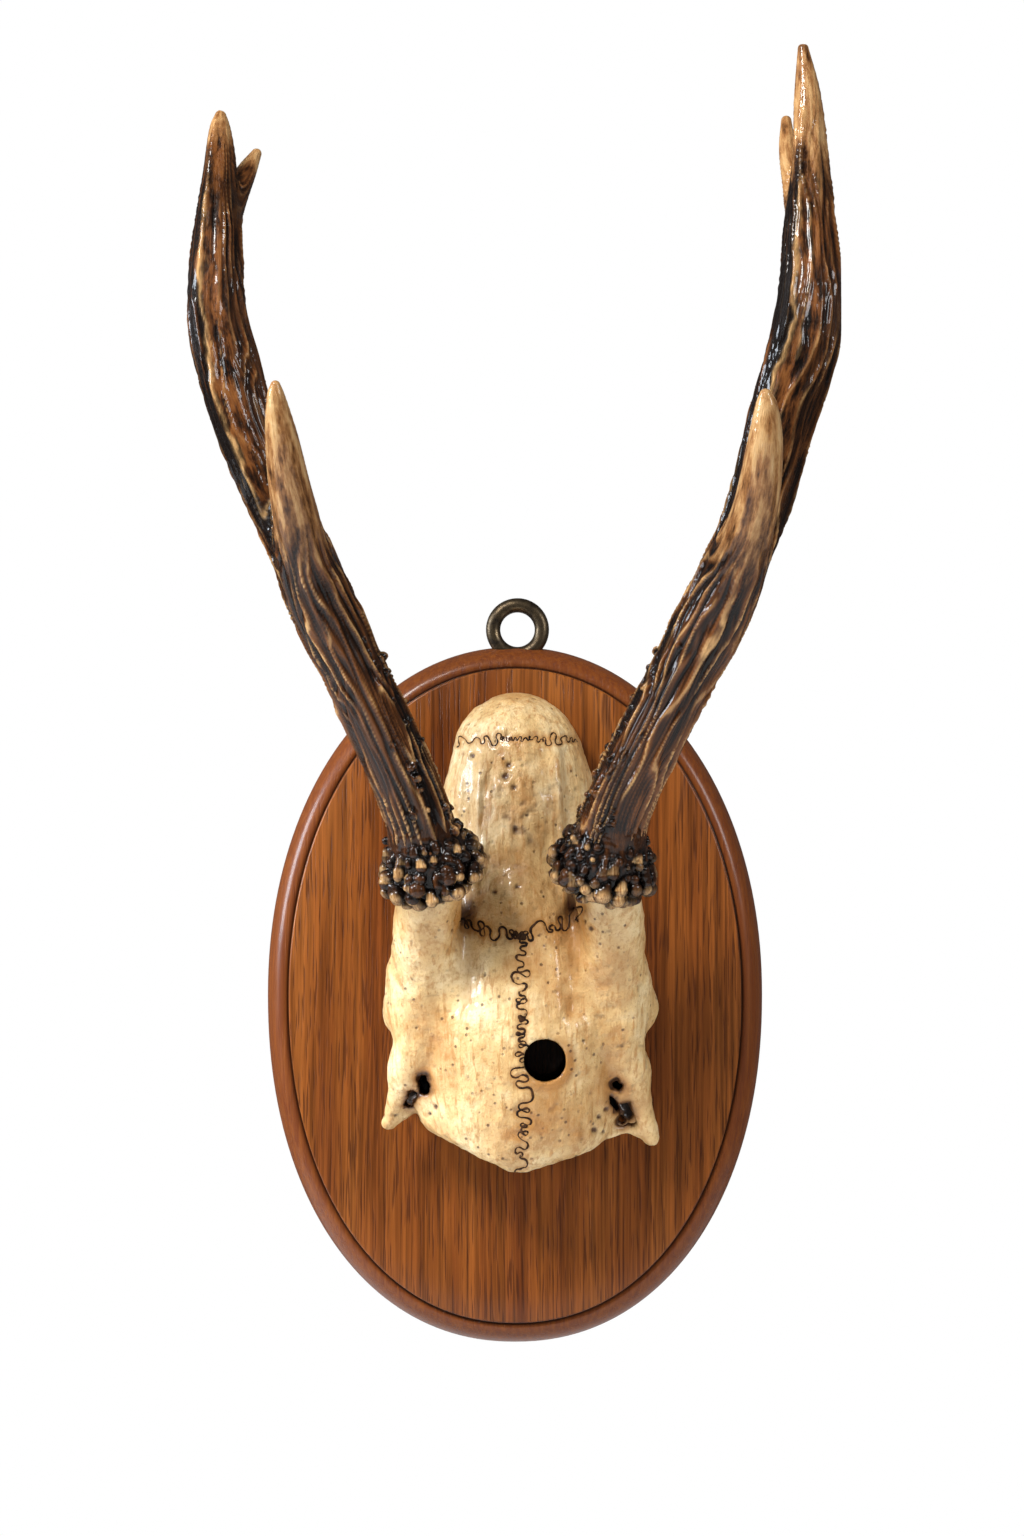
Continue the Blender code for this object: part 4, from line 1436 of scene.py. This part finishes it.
        # Painted shade: near black deep in the hole and within the slots' outlines.
        depth = -self.whole().distance(points) / MM
        inside = rising(depth, 1.0, 3.2) * rising(-points[:, 1], BOARD * MM, (BOARD + 3) * MM)
        keep_values(mesh, inside=np.maximum(inside, 1 - rising(gap, -0.5, 0.3)))
        lean = np.clip(((across - hole_x) * 0.75 - (up - hole_z) * 0.65) / np.maximum(ring, 1e-3), -1, 1)
        halo = (1 - rising(ring, radius + 1.2, radius + 4.4)) * np.clip(0.45 + 0.75 * lean, 0, 1)
        stain = sum(
            share * np.exp(-((across - x) / wide) ** 2 - ((up - z) / tall) ** 2)
            for x, z, wide, tall, share in self.stains
        )
        rim = 1 - rising(gap, 0.2, 3.2)
        # Stains, with the furrows' painted shade added; more ochre towards the slots' edges.
        stain = (stain + shade) * (0.45 + 0.9 * blotch) + halo + near_seam * 0.75 + rim * 0.8
        keep_values(mesh, stain=np.clip(stain, 0, 1))
        # Dirt in pits, pores and the crown, painted shade in clefts, and darker towards the slots' edges.
        grime_and_shade = rising(cavity_shade, 0.25, 0.95) * 0.85 + pit * 0.35 + crown_pit * 0.6
        grime_and_shade += (1 - rising(gap, 0.0, 1.6)) * (0.35 + 0.5 * blotch)
        keep_values(mesh, dirt=np.clip(grime_and_shade + holes * front, 0, 0.97))
        keep_values(mesh, gloss=rising(lattice_noise(points / (9 * MM), 5), -0.2, 0.7))
        nodes = ["skull_occipital", "skull_parietal", "skull_frontal_left", "skull_frontal_right"]
        return finished(obj, Bone().make(), nodes)

    def build_seams(self, skin: bpy.types.Object) -> list[bpy.types.Object]:
        """Thin dark threads that lie in the sutures.

        Args:
            skin: The finished skull, onto which they are laid.

        Returns:
            The pieces.
        """
        draw = np.random.default_rng(11)
        material = Seam().make()
        pieces = []
        for name, path in zip(("middle", "coronal", "lambdoid"), self.seams()):
            curve = bpy.data.curves.new(f"suture_{name}", "CURVE")
            curve.dimensions = "3D"
            depth = (0.29 if name == "lambdoid" else 0.44) * MM
            curve.bevel_depth = depth
            curve.bevel_resolution = 1
            curve.use_fill_caps = True
            runs: list[list[Vector]] = [[]]
            for x, z in path:
                hit, place, normal, _ = skin.ray_cast(Vector((x, -0.2, z)), Vector((0, 1, 0)))
                if hit and place.y < -(BOARD + 8) * MM:
                    runs[-1].append(place - normal * depth * 0.45)
                elif runs[-1]:
                    runs.append([])
            widths = draw.uniform(0.55, 1.35, 4000)
            for run in runs:
                if len(run) < 4:
                    continue
                line = curve.splines.new("POLY")
                line.points.add(len(run) - 1)
                for i, place in enumerate(run):
                    line.points[i].co = (*place, 1)
                    line.points[i].radius = 0.5 * (widths[i // 5] + widths[i // 5 + 1])
            obj = bpy.data.objects.new(f"suture_{name}", curve)
            bpy.context.scene.collection.objects.link(obj)
            bpy.context.view_layer.update()
            mesh = bpy.data.meshes.new_from_object(obj.evaluated_get(bpy.context.evaluated_depsgraph_get()))
            bpy.data.objects.remove(obj)
            pieces.append(finished(new_object(f"suture_{name}", mesh), material, []))
        return pieces


# Antlers


@dataclass
class Lie:
    """A limb's curve with a frame carried along it, which straightens what lies round it."""

    stations: tuple
    start: float = 0.0

    def frames(self) -> tuple[Rows, Rows, Rows, Rows, Rows]:
        """The curve's rows, lengths, directions and two cross directions.

        Returns:
            One row for each place along the curve, five times.
        """
        curve = smooth_curve(np.array(self.stations) * MM, 9)
        step = np.diff(curve[:, :3], axis=0)
        length = np.concatenate([[0], np.linalg.norm(step, axis=1).cumsum()]) + self.start
        along = np.gradient(curve[:, :3], axis=0)
        along /= np.linalg.norm(along, axis=1)[:, None]
        level = np.cross(along, (0.0, 1.0, 0.0))
        level /= np.linalg.norm(level, axis=1)[:, None]
        return curve, length, along, level, np.cross(along, level)

    def straightened(self, points: Rows) -> tuple[Rows, Rows]:
        """Places round the curve as if it were straight.

        Args:
            points: Places in the row frame.

        Returns:
            (across, across, length) rows, and each point's gap to the limb's own surface.
        """
        curve, length, along, level, third = self.frames()
        best = np.full(len(points), 1.0)
        nearest = np.zeros(len(points), int)
        for i, row in enumerate(curve):
            gap = np.linalg.norm(points - row[:3], axis=1) - row[3]
            closer = gap < best
            best[closer] = gap[closer]
            nearest[closer] = i
        off = points - curve[nearest, :3]
        forward = np.einsum("ij,ij->i", off, along[nearest])
        first = np.einsum("ij,ij->i", off, level[nearest])
        second = np.einsum("ij,ij->i", off, third[nearest])
        return np.stack([first, second, length[nearest] + forward], axis=1), best


@dataclass
class Antler:
    """One antler with its three points, and the knobbly burr at its foot."""

    side: Side
    beam: tuple
    front: tuple
    rear: tuple
    voxel: float = 0.54 * MM
    burr_voxel: float = 0.42 * MM
    burr_radius: float = 14.5 * MM
    pearl_rows: tuple = (
        (17, -5.6, 0.88, 2.6), (19, -3.0, 1.03, 2.6), (20, 0.4, 1.03, 2.2),
        (20, 3.6, 0.95, 1.9), (20, 6.8, 0.86, 1.6), (18, 10.0, 0.80, 1.35),
    )
    flare: tuple = ((-4.2, 10.6), (-1.5, 13.4), (3, 13.2), (7, 11.8), (12, 10.7), (17, 9.6))
    climbing: int = 60
    keels: tuple = (-60, 60, 180)
    pale_reach: float = 12

    def burr_place(self) -> tuple[Vector, Vector, Vector, Vector]:
        """The burr's centre, the beam's direction there, the inward way and the way to the viewer.

        Returns:
            The four vectors.
        """
        centre = Vector(self.beam[0][:3]) * MM
        axis = (Vector(self.beam[1][:3]) * MM - centre).normalized()
        inward = Vector((-self.side.value, 0, 0))
        inward = (inward - axis * inward.dot(axis)).normalized()
        return centre, axis, inward, axis.cross(inward)

    def burr_pearls(self) -> Rows:
        """The knobs of the burr, in rows, as (x, y, z, radius).

        Returns:
            One row for each knob.
        """
        draw = np.random.default_rng(20 + self.side.value)
        centre, axis, inward, front = self.burr_place()
        pearls = []
        for count, rise, spread, size in self.pearl_rows:
            for i in range(count):
                turn = 2 * math.pi * (i + draw.uniform(-0.3, 0.3)) / count + rise
                way = inward * math.cos(turn) + front * math.sin(turn)
                radius = size * draw.uniform(0.6, 1.2) * MM
                lift = (rise + draw.uniform(-1.3, 1.3)) * MM
                reach = self.burr_radius * spread * draw.uniform(0.97, 1.03)
                place = centre + way * reach + axis * lift
                pearls.append((*place, radius))
                if draw.uniform() < 0.35:
                    pearls.append((*(place + axis * radius * 0.9 - way * 0.3 * radius), radius * 0.85))
        return np.array(pearls)

    def climbing_pearls(self) -> Rows:
        """Smaller knobs that climb the beam, most of them on its inner side.

        Returns:
            One row for each knob.
        """
        draw = np.random.default_rng(40 + self.side.value)
        _, _, inward, front = self.burr_place()
        curve = smooth_curve(np.array(self.beam) * MM, 9)
        pearls = []
        for i in range(self.climbing):
            share = i / self.climbing
            row = curve[2 + int(share**1.3 * 26)]
            turn = draw.normal(0, 1.0 - 0.35 * share)
            way = inward * math.cos(turn) + front * math.sin(turn)
            radius = draw.uniform(1.0, 2.1) * (1 - 0.35 * share) * MM
            pearls.append((*(Vector(row[:3]) + way * (row[3] + 0.05 * radius)), radius))
        return np.array(pearls)

    def burr_form(self) -> Form:
        """The burr.

        Returns:
            The form.
        """
        centre, axis, _, _ = self.burr_place()
        rows = [(*(centre / MM + axis * rise), radius) for rise, radius in self.flare]
        cut = [(centre / MM - axis * 7.6, -axis)]
        return Trimmed(Studded(Limb(rows, 3), self.burr_pearls(), 0.5), cut, blend=1.0)

    def beam_form(self) -> Form:
        """The beam with its tines.

        Returns:
            The form.
        """
        tines = Fused([Limb(self.beam), Limb(self.front)], 6)
        tines = Fused([tines, Limb(self.rear)], 3)
        return Studded(tines, self.climbing_pearls(), 0.6)

    def lies(self, points: Rows) -> tuple[Rows, Rows, Rows]:
        """Straightened places, and how much of each point belongs to each limb.

        Args:
            points: Places on the antler.

        Returns:
            The straightened places, the limbs' shares, and the length left to the limb's tip.
        """
        beam = Lie(self.beam)
        curve, length, _, _, _ = beam.frames()
        places, gaps, left = [], [], []
        for stations in (self.beam, self.front, self.rear):
            root = np.linalg.norm(curve[:, :3] - np.array(stations[0][:3]) * MM, axis=1).argmin()
            lie = Lie(stations, length[root])
            place, gap = lie.straightened(points)
            places.append(place)
            gaps.append(gap)
            left.append(lie.frames()[1][-1] - place[:, 2])
        gaps_ = np.stack(gaps)
        weight = np.exp(-(gaps_ - gaps_.min(axis=0)) / (1.2 * MM))
        weight /= weight.sum(axis=0)
        place = sum(w[:, None] * p for w, p in zip(weight, places))
        tip = sum(w * l for w, l in zip(weight, left))
        return place, weight, tip

    def relief(self, place: Rows, strength: Rows) -> tuple[Rows, Rows, Rows]:
        """Long rounded ridges with sharp grooves between them.

        Args:
            place: Straightened places.
            strength: How strong they are at each place, 0 to 1.

        Returns:
            The height between 0 and 1, how far each place is on a worn crest, and the lift in metres.
        """
        seed = 60 + self.side.value
        turn = np.arctan2(place[:, 1], place[:, 0])
        drift = lattice_noise(place / np.array([7.0, 7.0, 26.0]) / MM, seed)
        twist = lattice_noise(place / np.array([2.6, 2.6, 13.0]) / MM, seed + 1)
        lane = 17 * turn / (2 * math.pi) + 1.3 * drift + 0.36 * twist
        fine = 37 * turn / (2 * math.pi) - 1.6 * drift + 0.5 * twist
        wide = 0.5 + 0.5 * np.cos(2 * math.pi * lane)
        thin = 0.5 + 0.5 * np.cos(2 * math.pi * fine)
        beads = 0.75 + 0.5 * lattice_noise(place / np.array([2.4, 2.4, 3.6]) / MM, seed + 3)
        breaks = rising(lattice_noise(place / np.array([3.0, 3.0, 19.0]) / MM, seed + 5), -0.55, 0.35)
        swell = lattice_noise(place / np.array([5.5, 5.5, 34.0]) / MM, seed + 4)
        ridge = wide**1.6 * (0.45 + 0.55 * breaks) * (0.8 + 0.2 * beads)
        wrinkle = thin**2
        crest = np.clip(rising(wide, 0.90, 1.0) * breaks * beads * 1.1, 0, 1)
        height = np.clip(0.24 + 0.46 * ridge + 0.22 * wrinkle + 0.20 * swell, 0, 1)
        lift = (1.15 * ridge + 0.34 * wrinkle + 0.22 * swell - 0.80) * strength
        return height, crest, lift * MM

    def keel(self, place: Rows) -> Rows:
        """A long keel between two flatter faces on the upper beam, as a lift in metres.

        Args:
            place: Straightened places.

        Returns:
            One lift for each place.
        """
        turn = np.arctan2(place[:, 1], place[:, 0]) + 0.12 * np.sin(place[:, 2] / (23 * MM))
        ways = [math.radians(angle) for angle in self.keels]
        along = place[:, 2] / MM
        share = rising(along, 70, 130) * (1 - rising(along, 232, 255))
        edges = sum(np.exp(-(((turn - way + math.pi) % (2 * math.pi) - math.pi) / 0.30) ** 2) for way in ways)
        return (1.5 * edges - 0.75) * share * MM

    def build_beam(self, material: bpy.types.Material) -> bpy.types.Object:
        """The beam and its tines.

        Args:
            material: The antler's finish.

        Returns:
            The piece.
        """
        word = self.side.word
        form = self.beam_form()
        obj = skinned(f"antler_{word}_beam", form, self.voxel)
        mesh = obj.data
        points, normals = corners(mesh), vertex_normals(mesh)
        place, weight, tip = self.lies(points)
        along = place[:, 2] / MM
        smooth_tip = rising(tip / MM, 4, 34)
        on_front = weight[1] * rising(along, 95, 135)
        strength = smooth_tip * (1 - 0.85 * on_front) * (1 - 0.35 * rising(along, 110, 190))
        height, crest, lift = self.relief(place, strength)
        lift += self.keel(place) * (1 - on_front) * weight[0]
        lean = normals[:, 0] + 0.14 * layered_noise(place / np.array([5.0, 5.0, 9.0]) / MM, 77, 2)
        upper = rising(along, 105, 150) * weight[0] + weight[2]
        line = np.exp(-(((lean + 0.42) / 0.045) ** 2)) * upper * smooth_tip
        set_corners(mesh, points + normals * (lift + line * 0.3 * MM)[:, None])
        # How closed in each place is, painted as shade in the clefts.
        cavity_shade = cavities(form, points, normals, 2.0 * MM)
        pale = (1 - rising(tip / MM, 0.3 * self.pale_reach, 1.3 * self.pale_reach)) * 0.84
        pale = np.maximum(pale, weight[1] * (0.62 * rising(along, 88, 130) + 0.45 * rising(along, 120, 180)))
        warm = upper * rising(lean, -0.46, -0.34) * (1 - 0.75 * rising(lean, 0.3, 0.62))
        shaded = upper * (1 - rising(lean, -0.54, -0.42)) * smooth_tip
        crest = np.maximum(crest * (1 - 0.5 * upper) * (1 - 0.85 * shaded), line)
        # Relief colour, lowered as painted shade in clefts and lowered on the upper beam's left-facing faces.
        keep_values(mesh, relief=np.clip(height - 0.5 * cavity_shade - 0.32 * shaded, 0, 1))
        keep_values(mesh, pale=pale)
        keep_values(mesh, warm=warm)
        keep_values(mesh, crest=crest * (0.35 + 0.65 * strength))
        keep_values(mesh, worn=np.zeros(len(points)))
        keep_values(mesh, lie=place)
        parts = ("lower_beam", "upper_beam", "front_tine", "rear_tine", "top_tine")
        nodes = [f"antler_{word}_{part}" for part in parts]
        return finished(obj, material, nodes)

    def build_burr(self, material: bpy.types.Material) -> bpy.types.Object:
        """The burr, with painted shade between its knobs, and worn to gold on them.

        Args:
            material: The antler's finish.

        Returns:
            The piece.
        """
        word = self.side.word
        form = self.burr_form()
        obj = skinned(f"antler_{word}_coronet", form, self.burr_voxel)
        mesh = obj.data
        points, normals = corners(mesh), vertex_normals(mesh)
        lift = layered_noise(points / (2.3 * MM), 5, 2) * 0.16 * MM
        set_corners(mesh, points + normals * lift[:, None])
        cavity_shade = cavities(form, points, normals, 1.6 * MM)
        centre, axis, _, _ = self.burr_place()
        draw = np.random.default_rng(80 + self.side.value)
        worn = np.zeros(len(points))
        for stud in self.burr_pearls():
            outward = stud[:3] - np.array(centre)
            outward -= np.array(axis) * (outward @ np.array(axis))
            outward = outward / np.linalg.norm(outward) * 0.8 + np.array((0, -0.5, -0.3))
            outward /= np.linalg.norm(outward)
            near = np.flatnonzero(np.abs(points - stud[:3]).max(axis=1) < stud[3] * 1.25)
            tip = (points[near] - stud[:3]) @ outward / stud[3]
            facing = float(np.clip(0.1 - outward[1] * 1.1, 0, 1))
            low = (stud[:3] - np.array(centre)) @ np.array(axis) < -1.5 * MM
            share = np.clip(draw.uniform(-0.5, 1.7) if low else draw.uniform(-3.6, 1.5), 0, 1) * facing
            worn[near] = np.maximum(worn[near], rising(tip, 0.45, 1.05) * share)
        # Painted shade: darker in the clefts between the knobs.
        keep_values(mesh, relief=np.clip(0.40 - 0.6 * cavity_shade, 0, 1))
        keep_values(mesh, pale=np.full(len(points), -1.0))
        keep_values(mesh, crest=np.zeros(len(points)))
        keep_values(mesh, warm=np.zeros(len(points)))
        keep_values(mesh, worn=np.clip(worn, 0, 1))
        keep_values(mesh, lie=points)
        return finished(obj, material, [f"antler_{word}_burr"])


def left_antler() -> Antler:
    """The left antler's places, as the solids have them, in mm.

    Returns:
        The antler.
    """
    return Antler(
        side=Side.LEFT,
        beam=(
            (-25.6, -68.3, 42.4, 10.6), (-31.6, -79, 62.7, 10.1), (-44.6, -92, 93.1, 9.9),
            (-59.6, -104, 125.5, 9.2), (-70.9, -109, 150, 9.2), (-80.2, -111.5, 172, 9.6),
            (-86.6, -112, 193, 9.9), (-90.1, -111, 211, 9.0), (-90.1, -107, 233, 7.4),
            (-89.8, -101.5, 250, 5.6), (-89.5, -98, 264, 3.6), (-89.2, -97, 269.6, 1.8),
        ),
        front=(
            (-54.4, -99, 113, 8.2), (-61.6, -111, 131, 7.9), (-66, -126.5, 151, 6.6),
            (-68.7, -137, 169, 5.0), (-70.1, -142.5, 180.5, 2.9), (-70.3, -144, 184.6, 1.5),
        ),
        rear=(
            (-89.5, -105, 232, 5.8), (-85.5, -98, 244, 4.5), (-81.8, -91.5, 253, 3.2),
            (-78.8, -86, 259.6, 1.6),
        ),
    )


def right_antler() -> Antler:
    """The right antler's places, as the solids have them, in mm.

    Returns:
        The antler.
    """
    return Antler(
        side=Side.RIGHT,
        pale_reach=52,
        beam=(
            (27.2, -68.3, 42.8, 10.6), (32.2, -79, 62.7, 10.3), (46.8, -92, 93.1, 10.3),
            (62.3, -104, 125.5, 9.7), (72, -109, 150, 9.6), (79.3, -111.5, 177, 10.2),
            (85.3, -112, 198, 10.7), (87.8, -111, 216, 9.8), (88.1, -106, 236, 7.9),
            (88.4, -100, 257, 5.7), (88.4, -96, 276, 4.1), (87.2, -95, 290.2, 1.7),
        ),
        front=(
            (57.4, -100, 113, 8.6), (65.5, -112, 131, 8.0), (71.2, -126, 149.5, 6.8),
            (73.4, -137, 166.5, 5.5), (73.7, -142, 177.5, 3.6), (73.3, -144, 182, 1.7),
        ),
        rear=(
            (87.4, -105, 230, 6.0), (84.9, -94.5, 247, 3.8), (83.1, -86, 260.5, 2.8),
            (82.9, -80, 270.4, 1.6),
        ),
    )


# Studio


@dataclass
class Studio:
    """The camera at the photo's angle, soft lights, a pale floor and white all round."""

    camera_place: tuple = (-0.00096, -1.609, 0.0725)
    lens: float = 117.2
    floor_height: float = -0.5
    floor_radius: float = 1.2
    ambient: float = 0.24
    mirrored: float = 0.10
    aim: tuple = (0, -0.05, 0.05)
    lights: tuple = (
        ("key", (-0.75, -1.0, 1.15), 0.45, 37, (1.0, 0.98, 0.95)),
        ("left", (-1.3, -0.25, 0.35), 0.5, 25, (0.82, 0.90, 1.0)),
        ("right", (1.1, -0.9, 0.5), 0.4, 9, (0.95, 0.97, 1.0)),
    )

    def add_camera(self) -> None:
        """The camera, level and square to the wall."""
        data = bpy.data.cameras.new("camera")
        data.lens = self.lens
        data.sensor_width = 36
        data.clip_start, data.clip_end = 0.05, 50
        camera = bpy.data.objects.new("camera", data)
        camera.location = self.camera_place
        camera.rotation_euler = (math.radians(90), 0, 0)
        bpy.context.scene.collection.objects.link(camera)
        bpy.context.scene.camera = camera

    def add_light(self, name: str, place: Sequence[float], size: float, power: float, colour: Colour) -> None:
        """A square soft light aimed at the skull.

        Args:
            name: Its name.
            place: Where it stands.
            size: Its width.
            power: Its power in watts.
            colour: Its colour.
        """
        data = bpy.data.lights.new(name, "AREA")
        data.shape = "SQUARE"
        data.size = size
        data.energy = power
        data.color = colour
        light = bpy.data.objects.new(name, data)
        light.location = place
        light.rotation_euler = (Vector(self.aim) - Vector(place)).to_track_quat("-Z", "Y").to_euler()
        bpy.context.scene.collection.objects.link(light)

    def add_world(self) -> None:
        """White surroundings, which light the trophy less than they show."""
        world = bpy.data.worlds.new("white")
        world.use_nodes = True
        tree = world.node_tree
        shown = tree.nodes["Background"]
        shown.inputs["Color"].default_value = (1, 1, 1, 1)
        lighting = tree.nodes.new("ShaderNodeBackground")
        lighting.inputs["Color"].default_value = (0.96, 0.98, 1.0, 1)
        path = tree.nodes.new("ShaderNodeLightPath")
        dimmed = tree.nodes.new("ShaderNodeMath")
        dimmed.operation = "MULTIPLY_ADD"
        tree.links.new(path.outputs["Is Glossy Ray"], dimmed.inputs[0])
        dimmed.inputs[1].default_value = self.mirrored - self.ambient
        dimmed.inputs[2].default_value = self.ambient
        tree.links.new(dimmed.outputs[0], lighting.inputs["Strength"])
        mix = tree.nodes.new("ShaderNodeMixShader")
        tree.links.new(path.outputs["Is Camera Ray"], mix.inputs[0])
        tree.links.new(lighting.outputs[0], mix.inputs[1])
        tree.links.new(shown.outputs[0], mix.inputs[2])
        tree.links.new(mix.outputs[0], tree.nodes["World Output"].inputs["Surface"])
        bpy.context.scene.world = world
        bpy.context.scene.view_settings.view_transform = "Standard"

    def add_floor(self) -> None:
        """A pale round floor well below the trophy."""
        bm = bmesh.new()
        place = Matrix.Translation((0, 0, self.floor_height))
        bmesh.ops.create_circle(bm, cap_ends=True, segments=96, radius=self.floor_radius, matrix=place)
        floor = from_bmesh("floor", bm)
        w = Weave("pale_floor")
        floor.data.materials.append(w.finish((0.85, 0.85, 0.85), 0.7))

    def build(self) -> None:
        """Everything round the trophy."""
        self.add_camera()
        self.add_world()
        for light in self.lights:
            self.add_light(*light)
        self.add_floor()


def main() -> None:
    """Builds the trophy piece by piece."""
    logging.basicConfig(level=logging.INFO, format="%(message)s")
    Studio().build()
    Plaque().build()
    HangingRing().build()
    skull = Skull()
    skin = skull.build()
    skull.build_seams(skin)
    horn = Horn().make()
    for antler in (left_antler(), right_antler()):
        antler.build_beam(horn)
        antler.build_burr(horn)


if __name__ == "__main__":
    main()
